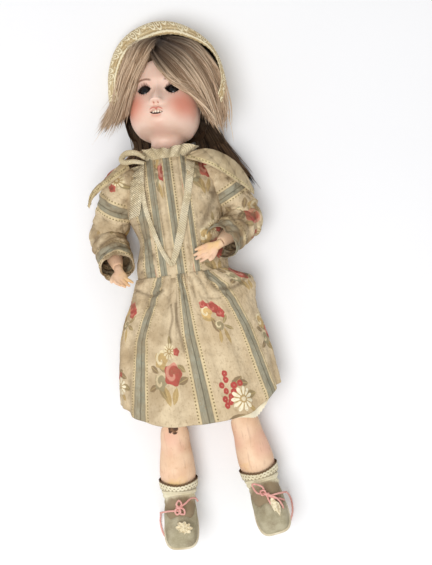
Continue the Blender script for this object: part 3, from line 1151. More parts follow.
def flowers(u, v, place, turn, colour):
    """Bouquets between the stripes, each drawn about the middle of its own cell of the cloth."""
    column = turn.maths("FLOOR")
    bouquet = column.maths("FLOORED_MODULO", 2.0)
    cell_u = (turn - column - 0.5) * (STRIPE_PITCH / MOTIF_SCALE)
    lane = (v - MOTIF_START + bouquet * MOTIF_SHIFT) / MOTIF_SPREAD + 0.5
    row = lane.maths("FLOOR")
    cell_v = (lane - row - 0.5) * (MOTIF_SPREAD / MOTIF_SCALE)
    second = row.maths("FLOORED_MODULO", 2.0)
    spray, posy = (1 - bouquet) * second, (1 - bouquet) * (1 - second)
    shown = v.step(BOUQUETS_FROM, BOUQUETS_FROM + 1) * v.step(BOUQUETS_TO + 1, BOUQUETS_TO)
    bouquet = bouquet * shown.maths("MAXIMUM", u.step(BOUQUETS_BESIDE, BOUQUETS_BESIDE + 1))
    ruffle = (place.noise(0.5, 2) - 0.5) * 2.2

    def about(x, y):
        """Distance and direction from a flower's middle."""
        a, b = cell_u - x, cell_v - y
        return span(a, b) + ruffle * 0.5, a.maths("ARCTAN2", b)

    def leaf(paint, mask, x, y, turn, long, wide, tone):
        """A pointed leaf with a paler rib."""
        c, s = math.cos(turn), math.sin(turn)
        a = ((cell_u - x) * c + (cell_v - y) * s) / long
        b = ((cell_v - y) * c - (cell_u - x) * s)
        inside = (1 - a * a) * wide - abs(b) + ruffle * 0.4
        paint = (inside.step(0.0, 0.7) * mask * 0.85).mix(paint, tone)
        rib = abs(b).step(0.5, 0.1) * inside.step(0.3, 0.8)
        return (rib * mask * 0.5).mix(paint, tint(214, 190, 132))

    def rose(paint, x, y, radius, mask, dark, light):
        """Curled petals: a spiral of light between two tones, inside a scalloped edge."""
        far, turn = about(x, y)
        edge = (turn * 5).maths("SINE") * (radius * 0.1) + radius
        petal = (far * (5.2 / radius) + turn).maths("SINE").step(0.25, 0.9)
        return ((edge - far).step(0.0, 0.7) * mask * 0.95).mix(paint, petal.mix(dark, light))

    def daisy(paint, x, y, radius, mask, petal, eye):
        """Ray petals round a ringed eye."""
        far, turn = about(x, y)
        ray = abs((turn * 5.5).maths("COSINE"))
        edge = ray * (radius * 0.36) + radius * 0.66
        paint = ((edge - far).step(0.0, 0.7) * mask).mix(paint, ray.step(0.1, 0.8).mix(eye, petal))
        ring = abs(far - radius * 0.26).step(0.9, 0.4)
        return (ring * mask * 0.8).mix(paint, eye)

    ochre, olive, brown = tint(178, 148, 92), tint(146, 128, 88), tint(126, 104, 74)
    red, pink = tint(178, 66, 62), tint(218, 146, 128)
    cream, pale = tint(238, 222, 182), tint(226, 208, 168)
    bouquet_leaves = [(0, 17, 1.3, 8, 3.2, ochre), (7, 17, 1.9, 7, 3, ochre), (-13, -3, 0.5, 6, 2.8, brown),
                      (16, 7, -0.3, 6, 3.2, brown), (16, -2, 0.7, 5, 2.8, olive), (-15, 11, -0.4, 6, 2.8, brown),
                      (-5, 14, 0.9, 7, 3, olive), (7, -24, 1.5, 6, 2.4, olive), (-1, -3, 0.2, 7, 3, olive)]
    posy_leaves = [(-8, 6, 0.2, 7, 2.8, ochre), (-3, 13, 1.3, 8, 3.6, brown), (9, 8, -0.8, 6, 2.4, olive),
                   (10, 16, 0.5, 6, 2.2, olive), (5, 23, 1.4, 8, 2.4, ochre), (-2, 23, 1.8, 6, 2, ochre)]
    spray_leaves = [(-1, -10.5, -0.5, 7, 3.4, brown), (5, -8.5, 0.3, 6, 3, brown), (10, 1.5, 0.2, 7, 3.4, olive),
                    (-9, 15, -0.2, 8, 3, brown), (7, 12, 0.8, 5, 2.4, ochre)]
    berries = [(-11, -14), (-15, -6), (-11, -9.5), (-7, -4.5), (-3, -5), (-15, 4), (-10.5, 3), (-14.5, 8.5),
               (-13, -1.5), (-8, 0), (-11.5, 6.5)]
    for shape in bouquet_leaves:
        colour = leaf(colour, bouquet, *shape)
    colour = rose(colour, -4.5, -10, 7.4, bouquet, tint(196, 166, 112), cream)
    colour = daisy(colour, 5.5, -16, 7.0, bouquet, cream, tint(170, 136, 82))
    colour = rose(colour, -6.5, 6.5, 6.8, bouquet, tint(158, 148, 116), pale)
    colour = rose(colour, 13, -15, 3.6, bouquet, red, tint(196, 88, 80))
    colour = rose(colour, 6.8, 1.6, 8.6, bouquet, red, pink)
    for shape in posy_leaves:
        colour = leaf(colour, posy, *shape)
    colour = rose(colour, 0.5, 13, 4.6, posy, tint(156, 142, 108), pale)
    for x, y, radius in ((-9, -9, 5.0), (6.5, 1, 5.8), (0.5, -5, 6.6)):
        colour = rose(colour, x, y, radius, posy, red, tint(208, 112, 100))
    colour = rose(colour, -8.5, -0.5, 6.4, posy, tint(214, 178, 116), cream)
    for shape in spray_leaves:
        colour = leaf(colour, spray, *shape)
    for x, y in berries:
        far, _ = about(1.25 * x + 5, y - 4)
        colour = (far.step(2.7, 2.1) * spray).mix(colour, far.step(0.0, 0.8).mix(pink, red))
    colour = daisy(colour, 0.5, 2.6, 9.4, spray, tint(246, 236, 206), tint(176, 142, 82))
    return colour


def worn(start, place, colour):
    """Soil in clouds and dark creases, where the marks on the cloth say so."""
    crease, soil, _ = start.mark().parts()
    colour = (soil * place.noise(0.07, 4).step(0.25, 0.7)).mix(colour, tint(132, 108, 76))
    return (crease * 0.7).mix(colour, tint(94, 76, 54))


def flower_print():
    """Printed cotton, u across the stripes and v along them in millimetres of cloth. Stripes repeat
    at a pitch. Between them stand bouquets, a row at each spread: roses in every second column, and
    in the others a nosegay and a spray of berries by turns. Soil darkens the marked creases."""
    made, start, place = new_finish("print_cotton")
    u, v = start.cloth()
    thread = (u.wave(1.1) + v.wave(1.1)) * 0.25
    slub = start.node("CombineXYZ", {}, {0: u * 0.9, 1: v * 0.12}).noise(1.0, 2)
    colour = place.clouds(0.035, 4, (220, 200, 166), (206, 184, 148))
    colour = (place.noise(0.016, 3).step(0.48, 0.7) * 0.4).mix(colour, tint(184, 158, 122))
    colour = (slub.step(0.5, 0.75) * 0.3).mix(colour, tint(166, 142, 108))
    colour, turn = stripes(u, v, place, slub, colour)
    colour = flowers(u, v, place, turn, colour)
    colour = (place.noise(0.4, 5).step(0.54, 0.72) * 0.4).mix(colour, tint(150, 124, 90))
    colour = worn(start, place, colour)
    crumple = place.noise(0.06, 3) * 5 + place.noise(0.2, 3) * 2
    shade(start, colour, 0.94, crumple + thread * 0.1, 0.9)
    return made


BODICE_SQUARE = 2.25
BODICE = [(46, 36.5, 34.5, -27, 35), (46.5, 36.5, 34.5, 0, 35), (47, 36.5, 34.5, 24.8, 35),
          (47, 35.5, 34.5, 66, 35), (37.5, 28.5, 30, 81, 35), (24.5, 22.5, 26, 90, 37), (20, 20, 20, 93.5, 41)]


def wrinkles(a, b, waves):
    """Creases over a cloth, 0 along their low lines and 1 on the tops: for each wave of [length,
    direction, shift, share], a ripple bent by slower ones, sharp below and round above."""
    total = 0
    for length, way, shift, share in waves:
        along = a * math.cos(way) + b * math.sin(way)
        across = b * math.cos(way) - a * math.sin(way)
        bend = 1.2 * np.sin(across / (0.9 * length) + shift) + 0.9 * np.sin(across / (2.3 * length) + 2.3 * shift)
        total = total + share * np.sqrt(np.abs(np.sin(np.pi * along / length + bend)))
    return total / sum(wave[3] for wave in waves)


def drawn_folds(x, y, folds):
    """How near a place on the front lies to listed fold lines of [points, half-width, depth]: the
    depth on a line, less by the square of the distance from it."""
    total = np.zeros(np.broadcast(x, y).shape)
    for points, width, depth in folds:
        line = evenly(points, 40)
        away = (x[..., None] - line[:, 0]) ** 2 + (y[..., None] - line[:, 1]) ** 2
        total = np.maximum(total, depth * np.exp(-away.min(-1) / width**2))
    return total


def soiled(crease, soil=0.0):
    """The marks that the printed cotton reads: how deep in a crease a point lies, and how soiled."""
    crease, soil = np.broadcast_arrays(np.clip(crease, 0, 1), soil)
    return np.stack([crease, soil, 0 * crease], -1)


BODICE_FOLDS = [
    ([(-19.8, 93.0), (-25.1, 65.5), (-23.2, 42.7), (-18.2, 13.9)], 1.3, 0.5),
    ([(-12.1, 89.7), (-14.4, 64.0), (-12.3, 16.4)], 1.0, 0.45),
    ([(1.7, 90.0), (1.5, 50.5), (0.8, 16.8)], 1.0, 0.4),
    ([(15.2, 83.6), (13.8, 66.9)], 1.0, 0.35),
    ([(44.0, 55.9), (33.4, 32.5), (25.5, 20.1)], 3.0, 0.75),
    ([(-38.2, 80.9), (-39.9, 64.2)], 1.6, 0.6),
    ([(-15.7, 96.7), (0.0, 96.1), (18.9, 94.1)], 1.6, 0.6),
    ([(-35.2, 21.9), (-28.8, 2.9), (-20.9, -12.8)], 1.4, 0.5),
]


def bodice_grid(rows, columns):
    """The bodice's rings and their crease marks, with narrow upright tucks down the front that fade
    to the sides, slack creases from the arms, and a nearly flat back on the surface. The right side is
    drawn in at the waist, and the cloth lies pressed under the left hand."""
    points = loft(BODICE, rows, columns, BODICE_SQUARE)
    x, y, z = np.moveaxis(points, -1, 0)
    x = x + 7.5 * bell(y, 12, 17) * ease((-x - 16) / 28)
    pressed = np.exp(-((x - 31) / 18) ** 2 - ((y - 7) / 19) ** 2)
    front = ease((z - 40) / 16)
    tuck = ease((24 - np.abs(x + 1)) / 5) * ease((y + 24) / 20)
    pleat = np.abs(np.sin(np.pi * (x + 1) / 5.8))
    side = ease((np.abs(x) - 20) / 10)
    slack = wrinkles(x, y, [(17, 1.9, 0.4, 1.0), (11, 0.9, 1.7, 0.7), (7, 2.6, 3.1, 0.4)])
    drawn = drawn_folds(x, y, BODICE_FOLDS)
    rise = 0.8 * pleat * tuck + 4.4 * (slack - 0.7) * (0.25 + 0.75 * side) - 1.4 * drawn - 4.2 * pressed
    crease = 0.55 * tuck * (1 - pleat) ** 1.6 + np.clip(1.9 - 3.0 * slack, 0, 1) * (0.15 + 0.55 * side)
    marks = soiled((crease + drawn) * front, 0.2 + 0.3 * side)
    return np.stack([x, y, np.maximum(z + rise * front, 0.4)], -1), marks


def side_mark(points):
    """The way round a ring from the front, in millimetres, as cloth wraps it."""
    step = np.linalg.norm(np.diff(points, axis=1), axis=2)
    gone = np.concatenate([np.zeros((len(points), 1)), np.cumsum(step, 1)], 1)
    return gone - gone[:, points.shape[1] // 2][:, None]


# Ways across the front, and the cloth's place across the stripes there.
TUCKS = np.array([(-140, -244), (-60, -164), (-26, -130), (-25.9, -79), (-13.6, -57), (-13.5, -37),
                  (-5.6, -19), (-5.5, -0.1), (3.5, 16.1), (11.9, 24.4), (12, 71), (22, 97), (22.1, 106),
                  (60, 144), (140, 224)])
PRINT_BASE = 185.5


def bodice_uv(points):
    """Cloth places on the bodice: the tucks take up cloth, so the print jumps across them."""
    x, y, z = np.moveaxis(points, -1, 0)
    beside = np.maximum(ease((np.abs(x) - 26) / 14), z < 35)
    way = x * (1 - beside) + side_mark(points) * beside
    return np.stack([np.interp(way, *TUCKS.T), PRINT_BASE - y], -1)


PRINT_COTTON = flower_print()
points, marks = bodice_grid(150, 280)
bodice = grid_piece("print_bodice", points, PRINT_COTTON, uv=bodice_uv(points), place=marks)
give_wall(bodice, 0.7)
settle(bodice, "torso", "dress_bodice")
bodice_points = points


def bodice_height(x, y):
    """The bodice front's height above the floor at a place."""
    half, front, _, _, z = (np.interp(y, [s[3] for s in BODICE], [s[i] for s in BODICE]) for i in range(5))
    reach = np.clip(1 - np.abs(x / half) ** BODICE_SQUARE, 0, 1) ** (1 / BODICE_SQUARE)
    return z + front * reach


# Sleeves: straight cotton sleeves set into the armholes with a small full head, loose over the
# elbow, with the stripes running round the arm. Their open ends show the arm inside.
def cut_size(points):
    """A cloth's longest row and column and its own area, in metres."""
    rows = np.linalg.norm(np.diff(points, axis=1), axis=2).sum(1).max() * MM
    columns = np.linalg.norm(np.diff(points, axis=0), axis=2).sum(0).max() * MM
    a, b = points[1:, 1:] - points[:-1, :-1], points[1:, :-1] - points[:-1, 1:]
    area = 0.5 * np.linalg.norm(np.cross(a, b), axis=2).sum() * MM**2
    return (float(rows), float(columns)), float(min(area, rows * columns))


def lay_out(piece, points, held, under, **more):
    """Declares a cloth with the flat size and area that its own rows and columns have."""
    flat, area = cut_size(points)


def sleeve_grid(side, rows, columns):
    """A tube from the shoulder's dome along the arm to the open cuff, with slack creases that
    gather inside the bend."""
    shoulder, elbow, wrist = SHOULDER[side], ELBOW[side], WRIST[side]
    upper = (elbow - shoulder) / np.linalg.norm(elbow - shoulder)
    fore = (wrist - elbow) / np.linalg.norm(wrist - elbow)
    path = [shoulder - upper * 20.6, shoulder - upper * 17, shoulder - upper * 10, shoulder, shoulder + upper * 14,
            shoulder + upper * 30, elbow - upper * 10 + fore * 1, elbow - upper * 1.5 + fore * 1.5,
            elbow + fore * 10, elbow + fore * 26, elbow + fore * 42, elbow + fore * 52]
    size = [0.01, 12, 18.4, 20.6, 19.6, 18.6, 18.2, 18, 17.6, 17.2, 17, 17]
    path, size = evenly(path, rows), evenly(size, rows)
    ahead = unit(np.gradient(path, axis=0))
    lateral = unit(np.cross(ahead, (0, 0, 1)))
    top = np.cross(lateral, ahead)
    angle = np.linspace(-np.pi, np.pi, columns + 1)[None]
    share = np.linspace(0, 1, rows)[:, None]
    gone = gone_along(path)
    slack = ease((share - 0.12) / 0.2)
    around = SLEEVE_RADIUS * angle
    folds = wrinkles(gone, around, [(15, 0.25, 0.3 + SIDES[side], 1.0), (9, -0.5, 2.1, 0.6), (20, 1.3, 0.9, 0.5)])
    bend = np.sin(gone * 0.42 + 1.8 * np.sin(angle + SIDES[side])) * bell(gone, 78, 24)
    reach = size[:, None] + (5.4 * (folds - 0.7) + 1.2 * bend) * slack
    points = path[:, None] + reach[..., None] * (np.cos(angle)[..., None] * top[:, None]
                                                 + np.sin(angle)[..., None] * lateral[:, None])
    points = resting(points, 0.5)
    crease = np.clip(1.9 - 3.0 * folds, 0, 1) * slack * 0.7 + np.clip(-bend, 0, 1) * 0.25
    along, across, down = SLEEVE_PRINT[side]
    uv = np.stack(np.broadcast_arrays(np.interp(gone, along, across), around + down), -1)
    return points, uv, soiled(crease, 0.45 + 0.45 * ease((gone - 55) / 40))


SLEEVE_RADIUS = 17
# Ways along the arm, the cloth's place across the stripes there, and along them on top.
SLEEVE_PRINT = {"left": ((0, 78, 180), (-115, -20, 51), 109.5), "right": ((0, 180), (-33, 147), 82)}
for side in SIDES:
    points, uv, marks = sleeve_grid(side, 150, 110)
    sleeve = grid_piece(f"print_sleeve_{side}", points, PRINT_COTTON, uv=uv, place=marks)
    give_wall(sleeve, 0.8)
    upper, fore = ELBOW[side] - SHOULDER[side], WRIST[side] - ELBOW[side]
    start = ELBOW[side] - 14 * upper / np.linalg.norm(upper)
    end = ELBOW[side] + 14 * fore / np.linalg.norm(fore)
    start * MM
    end * MM
    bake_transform(sleeve)
    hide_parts(f"sleeve_{side}")
    lay_out(sleeve, points, "gathered", f"upper_arm_{side}")


# Skirt: gathered at a low waist and pleated at the centre front, open below, with a plain turned hem.
# The waist piece stays with the body; each lower half follows its own leg, and they meet in the middle.
SKIRT = [(47, 36.5, 34.5, -24, 35), (56, 36.3, 34.5, -46, 35), (67.1, 36, 34.5, -70, 35),
         (74, 35.5, 34.5, -100, 35), (77.5, 34.5, 34, -135, 34.5), (79.5, 31.5, 33, -172.5, 33.5)]
WAIST_SHARE = 0.13
# In metres: where the cloth starts to leave the body, and where it follows the leg alone.
HEM_RISE, BACK_RISE = 27, 7
SKIRT_SQUARE = 2.4
SKIRT_LENGTH = 151.5
GATHER = 0.36
SKIRT_FOLDS = [
    ([(-15.5, -52.8), (-15.7, -66.3), (-20.3, -79.2), (-19.9, -88.3)], 1.1, 0.8),
    ([(-10.9, -52.3), (-11.2, -72.6), (-9.6, -87.5), (-8.9, -98.8)], 1.4, 0.8),
    ([(-48.3, -33.6), (-39.4, -38.8), (-30.8, -41.7), (-21.7, -37.3)], 1.6, 0.8),
    ([(-37.3, -47.5), (-37.1, -58.8), (-43.0, -73.8)], 1.6, 0.5),
    ([(8.3, -32.5), (9.4, -48.4)], 1.0, 0.35),
    ([(13.5, -43.4), (15.6, -52.7)], 1.0, 0.35),
    ([(22.0, -23.1), (28.1, -39.8), (39.5, -50.6)], 1.4, 0.6),
    ([(34.3, -43.8), (47.8, -43.9), (58.1, -38.6), (62.0, -31.0), (58.7, -18.1)], 2.2, 0.85),
    ([(20.9, -50.9), (27.4, -52.6), (33.7, -52.4)], 1.1, 0.45),
]


def skirt_grid(shares, columns_at, proud=0.0):
    """The skirt at shares of the way down, and at places round it counted in turns from the front.
    Pleats gather the front at the waist and open into soft folds at the hem, whose sides lift."""
    turn = np.asarray(columns_at)[None] * 2 * np.pi
    share = np.asarray(shares)[:, None]
    quarter = np.clip(np.abs(turn) / (np.pi / 2), 0, 1)
    waist_turn = np.where(np.abs(turn) < np.pi / 2, turn * (GATHER + (1 - GATHER) * quarter**2), turn)
    place = turn + (waist_turn - turn) * (1 - share) ** 1.3
    half, front, back, y, z = through(SKIRT, share[:, 0] * (len(SKIRT) - 1)).T[..., None]
    across, out = np.sin(place), np.cos(place)
    reach = squared(across, out, SKIRT_SQUARE)
    puff = 1 + 0.3 * bell(y, -36, 20) * ease((across - 0.3) / 0.7) * ease(share / 0.1)
    depth = np.where(out > 0, front, back)
    fold = 1.6 * share * np.sin(13 * turn + 0.6) + 1.1 * share**2 * np.sin(21 * turn + 2)
    gather = np.exp(-share / 0.34) * np.exp(-(turn / 1.1) ** 2)
    pleat = np.sin(30 * turn + 2 * np.sin(7 * turn) + 1.5 * share)
    tuck = np.exp(-((turn + 0.24 - 0.06 * share) / 0.04) ** 2) * bell(share, 0.3, 0.2)
    slack = wrinkles(62 * turn, 153 * share, [(34, 0.35, 0.8, 1.0), (23, -0.5, 2.2, 0.8), (13, 1.2, 0.5, 0.45)])
    fullness = 0.35 + 0.65 * bell(share, 0.12, 0.22)
    grow = fold + 1.4 * pleat * gather + 2.0 * tuck + 4.6 * (slack - 0.7) * fullness
    grow = grow * ease((out + 0.9) / 0.6) + proud
    x = (half * puff + grow * np.abs(across)) * across * reach
    height = z + (depth + grow * np.where(out > 0, 1, 0.2)) * out * reach
    y = y + HEM_RISE * share**3 * np.abs(across * reach) ** 3.4 + BACK_RISE * share**3 * ease((0.2 - out) / 0.5)
    crease = np.clip(-pleat, 0, 1) ** 2 * gather * 0.7 + np.clip(1.8 - 3.0 * slack, 0, 1) * fullness * 0.5
    crease += 0.8 * np.exp(-((turn + 0.30 - 0.06 * share) / 0.022) ** 2) * bell(share, 0.3, 0.18)
    drawn = drawn_folds(x, y + 0 * x, SKIRT_FOLDS) * (out > 0)
    height = height - 1.6 * drawn
    crease = crease + drawn + 0.4 * ease_down(share, 0.0, 0.02)
    marks = soiled(crease * ease(out + 0.5), 0.2 + 0.25 * ease((0.3 - across) / 1.0))
    return np.stack([x, y + 0 * turn, np.maximum(height, 0.4)], -1), marks


# Share of the way down, and the three stripes' ways round from the middle.
STRIPE_WAYS = np.array([(0, -22, -4, 24), (0.05, -24, -3.5, 27), (0.16, -29.5, -2.3, 39), (0.5, -53, -1.8, 61),
                        (1, -70, 5, 84)])


def skirt_uv(points, shares):
    """Cloth places: three stripes of the print run down the front, at the listed ways round from its
    middle for each share of the way down. The cloth is gathered between them and flat beyond."""
    x, _, z = np.moveaxis(points, -1, 0)
    half = np.abs(x).max(1, keepdims=True)
    behind = z < 30
    way = np.where(behind, 2 * half - np.abs(x), np.abs(x)) + np.maximum(z.max(1, keepdims=True) - z - 3, 0)
    way = np.sign(x) * way
    left, middle, right = (np.interp(shares, STRIPE_WAYS[:, 0], STRIPE_WAYS[:, i])[:, None] for i in (1, 2, 3))
    side = np.where(way < middle, middle - left, right - middle)
    u = STRIPE_PLACE + STRIPE_PITCH * (way - middle) / side
    u = np.where(way < left, STRIPE_PLACE - STRIPE_PITCH + way - left, u)
    u = np.where(way > right, STRIPE_PLACE + STRIPE_PITCH + way - right, u)
    down = np.asarray(shares)[:, None] * SKIRT_LENGTH + 12 * ease((-64 - u) / 8) + 20 * ease((u - 84) / 8)
    return np.stack([u, down], -1)


whole = np.linspace(-0.5, 0.5, 321)
outer, outer_marks = skirt_grid(np.linspace(0, WAIST_SHARE, 22), whole, 0.25)
lining_to = 0.28 + 0.27 * ease((np.abs(whole) - 0.12) / 0.3)
step = np.linspace(0, 1, 24)
lining = np.stack([skirt_grid(WAIST_SHARE + (lining_to - WAIST_SHARE) * s, whole, -1.6)[0][
    np.arange(len(whole)), np.arange(len(whole))] for s in step])
points = np.concatenate([outer, lining])
marks = np.concatenate([outer_marks, np.zeros_like(lining)])
uv = skirt_uv(points, np.concatenate([np.linspace(0, WAIST_SHARE, 22), np.linspace(WAIST_SHARE, 0.4, 24)]))
yoke = grid_piece("skirt_waist", points, PRINT_COTTON, uv=uv, place=marks)
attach(yoke, "torso")
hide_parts("dress_skirt")
lay_out(yoke, points, "gathered", "print_bodice")
for side, way in SIDES.items():
    columns = np.linspace(0, 0.5, 190) * way
    shares = np.linspace(WAIST_SHARE - 0.004, 1, 150)
    points, marks = skirt_grid(shares, columns)
    hem = resting(points[-1:] + (0, -0.4, -0.8), 0.2)
    turned, turned_marks = skirt_grid([0.965], columns, -1.0)
    points = np.concatenate([points, hem, turned])
    marks = np.concatenate([marks, marks[-1:], turned_marks])
    uv = skirt_uv(points, np.concatenate([shares, [1.004, 1.03]]))
    panel = grid_piece(f"skirt_{side}", points, PRINT_COTTON, uv=uv, place=marks)
    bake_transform(panel)
    lay_out(panel, points, "gathered", "skirt_waist")


# Petticoat: thin white cotton under the skirt with a narrow lace edge, which shows below the hem on
# the doll's left.
def white_cotton():
    """Thin washed cotton, yellowed in clouds."""
    made, start, place = new_finish("white_cotton")
    weave = place.noise(2.2, 2)
    colour = place.clouds(0.05, 3, (240, 230, 204), (222, 206, 170))
    shade(start, colour, 0.9, weave + place.noise(0.1, 3) * 3, 0.3, {"Sheen Weight": 0.2})
    return made


WHITE_COTTON = white_cotton()
for side, way in SIDES.items():
    columns = np.linspace(0, 0.5, 150) * way
    points, _ = skirt_grid(np.linspace(0.48, 1.0, 60), columns, -2.6)
    drop = np.linspace(0, 1, 60)[:, None] ** 4 * bell(columns, 0.115, 0.03)[None]
    points[..., 1] -= 8.5 * drop + 0.8 * drop * np.sin(columns * 900)[None]
    petticoat = grid_piece(f"petticoat_{side}", points, WHITE_COTTON)
    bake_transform(petticoat)
    lay_out(petticoat, points, "gathered", f"skirt_{side}")
    if side == "left":
        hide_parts("petticoat")


# Lace: cream cotton lace sewn in a V down the bodice front, a wider openwork edge turned back on the
# doll's right, and a gathered frill round the neck.
def cream_lace(name, open_work):
    """Knotted net: a fine diamond mesh with holes, denser at the sewn edge and in its small sprigs."""
    made, start, place = new_finish(name)
    u, v = start.cloth()
    a = (u + v).wave(4.0)
    b = (u - v).wave(4.0)
    mesh = abs(a * b)
    flat = start.node("CombineXYZ", {}, {0: u, 1: v})
    sprig = start.node("TexVoronoi", {}, {"Vector": flat, "Scale": 0.3}).step(0.34, 0.2)
    hole = mesh.step(0.35, 0.6) * (1 - sprig)
    age = place.clouds(0.07, 3, (232, 219, 188), (212, 195, 158))
    colour = (hole * open_work).mix(age, tint(128, 106, 74))
    colour = (sprig * 0.5).mix(colour, tint(232, 218, 184))
    crease, _, _ = start.mark().parts()
    colour = (crease * 0.75).mix(colour, tint(112, 90, 62))
    shade(start, colour, 0.9, (1 - hole) + sprig * 0.6, 0.35)
    return made


def lace_band(name, edge_a, edge_b, rows, columns, proud, material, ruffle=0.6):
    """A strip between two lines on the bodice's front, lying just above it, its free edge rippled."""
    line_a, line_b = evenly(edge_a, rows), evenly(edge_b, rows)
    share = np.linspace(0, 1, columns)[None, :, None]
    flat = line_a[:, None] * (1 - share) + line_b[:, None] * share
    gone = gone_along(line_a)
    lift = proud + ruffle * share[..., 0] * (1 + np.sin(gone * 0.9))
    points = np.concatenate([flat, (bodice_height(flat[..., 0], flat[..., 1]) + lift)[..., None]], -1)
    wide = np.linalg.norm(line_b - line_a, axis=1)[:, None]
    uv = np.stack(np.broadcast_arrays(gone, wide * share[..., 0]), -1)
    band = grid_piece(name, points, material, uv=uv)
    wall = band.modifiers.new("wall", "SOLIDIFY")
    wall.thickness = 0.5 * MM
    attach(band, "torso")
    return band


FINE_LACE, OPEN_LACE = cream_lace("fine_lace", 0.5), cream_lace("open_lace", 0.9)
V_RIGHT = [(-27, 88), (-29.5, 72), (-29.8, 56), (-29, 42.5), (-25.7, 25), (-19.8, 3), (-14.7, -9), (-10, -16)]
V_RIGHT_IN = [(-23, 88), (-25, 72), (-25.4, 56), (-24.6, 42.5), (-21.2, 25), (-15.4, 3), (-10.4, -8), (-7, -15)]
V_LEFT = [(19, 86.5), (14.2, 60), (5.9, 33), (-1.6, 11.5), (-7.2, -4.6), (-11, -14)]
V_LEFT_OUT = [(27.6, 84), (20.4, 56), (14.9, 37.5), (7.6, 13.6), (1.1, -1.2), (-6, -15)]
REVERS_OUT = [(-37, 88), (-39, 70), (-41.5, 52), (-46, 36)]
REVERS_IN = [(-23, 90), (-26, 72), (-29, 54), (-34, 38)]
trims = [lace_band("lace_v_right", V_RIGHT, V_RIGHT_IN, 120, 12, 1.9, FINE_LACE),
         lace_band("lace_v_left", V_LEFT, V_LEFT_OUT, 120, 14, 1.9, FINE_LACE),
         lace_band("lace_revers", REVERS_IN, REVERS_OUT, 90, 24, 2.4, OPEN_LACE, 1.2)]
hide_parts("lace_plastron")
lay_out(bodice, bodice_points, "gathered", "torso_shell", with_pieces=trims)


FRILL_RADIUS, FRILL_Y, FRILL_Z = 20, 90.5, 42


def frill_grid(rows, columns):
    """A standing ruffle round the neck: it flares from a sewn base, and its free edge waves in
    uneven turns that flop and stand by places. Also the depth of its turns."""
    angle = np.linspace(-np.pi, np.pi, columns + 1)[None]
    share = np.linspace(0, 1, rows)[:, None]
    turn = 13 * angle + 1.8 * np.sin(2 * angle + 0.7)
    wave = np.sin(turn) * share
    flop = 0.5 + 0.5 * np.sin(3 * angle + 1.2) * np.cos(2 * angle)
    reach = FRILL_RADIUS + 9 * share * (0.7 + 0.5 * flop) + 4.8 * wave
    y = FRILL_Y + (13.5 - 5.5 * flop) * share**0.8 + 1.2 * share * np.cos(turn + 0.8)
    points = np.stack([reach * np.sin(angle), y, FRILL_Z + reach * np.cos(angle)], -1)
    return points, soiled(np.clip(-wave, 0, 1) ** 2)


points, marks = frill_grid(18, 420)
uv = np.stack(np.broadcast_arrays(np.linspace(0, 160, 421)[None], np.linspace(0, 11, 18)[:, None]), -1)
frill = grid_piece("neck_frill", points, FINE_LACE, uv=uv, place=marks)
give_wall(frill, 0.5)
settle(frill, "torso", "collar_frill")
ROLL = [(-22, 88, 66), (-32, 91, 65), (-41, 91.5, 62), (-44, 95.5, 60), (-39, 100.5, 58), (-29, 99.5, 60),
        (-21, 93, 63)]
ROLL_RADIUS = [1.8, 2.6, 2.8, 3, 2.8, 2.6, 1.8]
roll = capped(tube(evenly(ROLL, 90), evenly(ROLL_RADIUS, 90), 30, 2, 0.08))
uv = np.stack(np.broadcast_arrays(np.linspace(0, 70, 92)[:, None], np.linspace(0, 16, 31)[None]), -1)
roll = grid_piece("collar_roll", roll, FINE_LACE, uv=uv)
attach(roll, "torso")
lay_out(frill, points, "gathered", "print_bodice", with_pieces=[roll])


# Shoulder capes: faded cotton capes sewn in at the neck with a dotted edge. The left one lies
# over the sleeve; the right one is torn to a narrow strip that stands away from the arm.
def faded_cotton():
    """Washed-out print: pale cloth with one dotted yellow line along its edge."""
    made, start, place = new_finish("faded_cotton")
    u, v = start.cloth()
    colour = place.clouds(0.06, 4, (216, 197, 160), (192, 170, 132))
    edge = abs(v - 3.4)
    colour = (edge.step(2.4, 1.6) * 0.8).mix(colour, tint(230, 212, 162))
    dots = span(u.cell(3.0), edge).step(0.95, 0.5)
    colour = (dots * 0.8).mix(colour, tint(104, 84, 52))
    colour = worn(start, place, colour)
    shade(start, colour, 0.94, place.noise(0.08, 3) * 5 + place.noise(1.5, 2), 0.5)
    return made


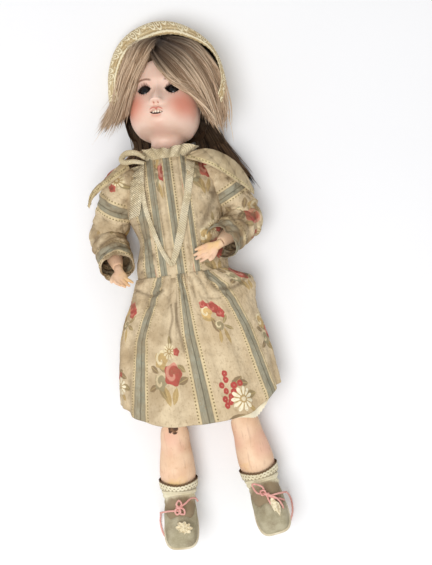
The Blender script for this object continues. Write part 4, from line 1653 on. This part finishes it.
CAPE_EDGE = {
    "left": ([(19, 87.5, 66), (31, 82, 69), (44, 75, 68), (55, 66.5, 64.5), (65, 58.5, 59.5),
              (74, 51.5, 53), (81, 44.5, 45)],
             [(25, 93.5, 58), (37, 95.5, 55.5), (49, 92.5, 51.5), (60, 86, 47), (69.5, 77, 42),
              (76.5, 65, 37.5), (82, 50, 36)]),
    "right": ([(-37, 85, 64), (-46, 79.5, 62), (-55, 75.5, 59), (-64, 71, 55.5), (-72, 66.5, 52),
               (-79, 61, 48), (-83.5, 53, 45)],
              [(-40, 95, 60), (-50, 88.5, 59), (-58, 83, 56.5), (-66.5, 77.5, 53), (-74.5, 73, 50),
               (-81, 66, 47), (-85, 56, 44.5)]),
}
CAPE_ROWS, CAPE_LENGTH = 90, 80
# Piece, first and last row, its two bodies, and where one gives way to the other.
CAPE_PARTS = {
    "left": (("faded_cape_left", 0, 46, "torso", "shoulder", 0.03, 0.05),
             ("faded_cape_end_left", 45, CAPE_ROWS, "shoulder_left", "upper_arm", 0.056, 0.07)),
    "right": (("faded_cape_right", 0, CAPE_ROWS, "torso", "shoulder", 0.03, 0.056),),
}
FADED = faded_cotton()
for side, way in SIDES.items():
    inner, outer = (evenly(line, CAPE_ROWS) for line in CAPE_EDGE[side])
    share = np.linspace(0, 1, 40)[None, :, None]
    points = inner[:, None] * (1 - share) + outer[:, None] * share
    along = np.linspace(0, 1, CAPE_ROWS)[:, None]
    middle = np.sin(np.pi * share[..., 0]) * np.sin(np.pi * np.clip(along * 1.05, 0, 1))
    folds = wrinkles(along * CAPE_LENGTH, 20 * share[..., 0], [(15, 0.5, 0.4, 1.0), (9, -0.6, 1.9, 0.8)])
    points[..., 2] += 3.4 * middle + 4.0 * (folds - 0.7) * (0.3 + 0.7 * share[..., 0])
    marks = soiled(np.clip(2.1 - 3.0 * folds, 0, 1) * 0.65, 0.3 if side == "left" else 0.7)
    wide = np.linalg.norm(outer - inner, axis=1)[:, None]
    uv = np.stack(np.broadcast_arrays(along * CAPE_LENGTH, wide * share[..., 0]), -1)
    for name, first, last, near, far, begin, end in CAPE_PARTS[side]:
        part = points[first:last]
        cape = grid_piece(name, part, FADED, uv=uv[first:last], place=marks[first:last])
        give_wall(cape, 0.6)
        way * end
        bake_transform(cape)
        lay_out(cape, part, "draped", f"print_sleeve_{side}")
        if first == 0:
            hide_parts(f"shoulder_cape_{side}")
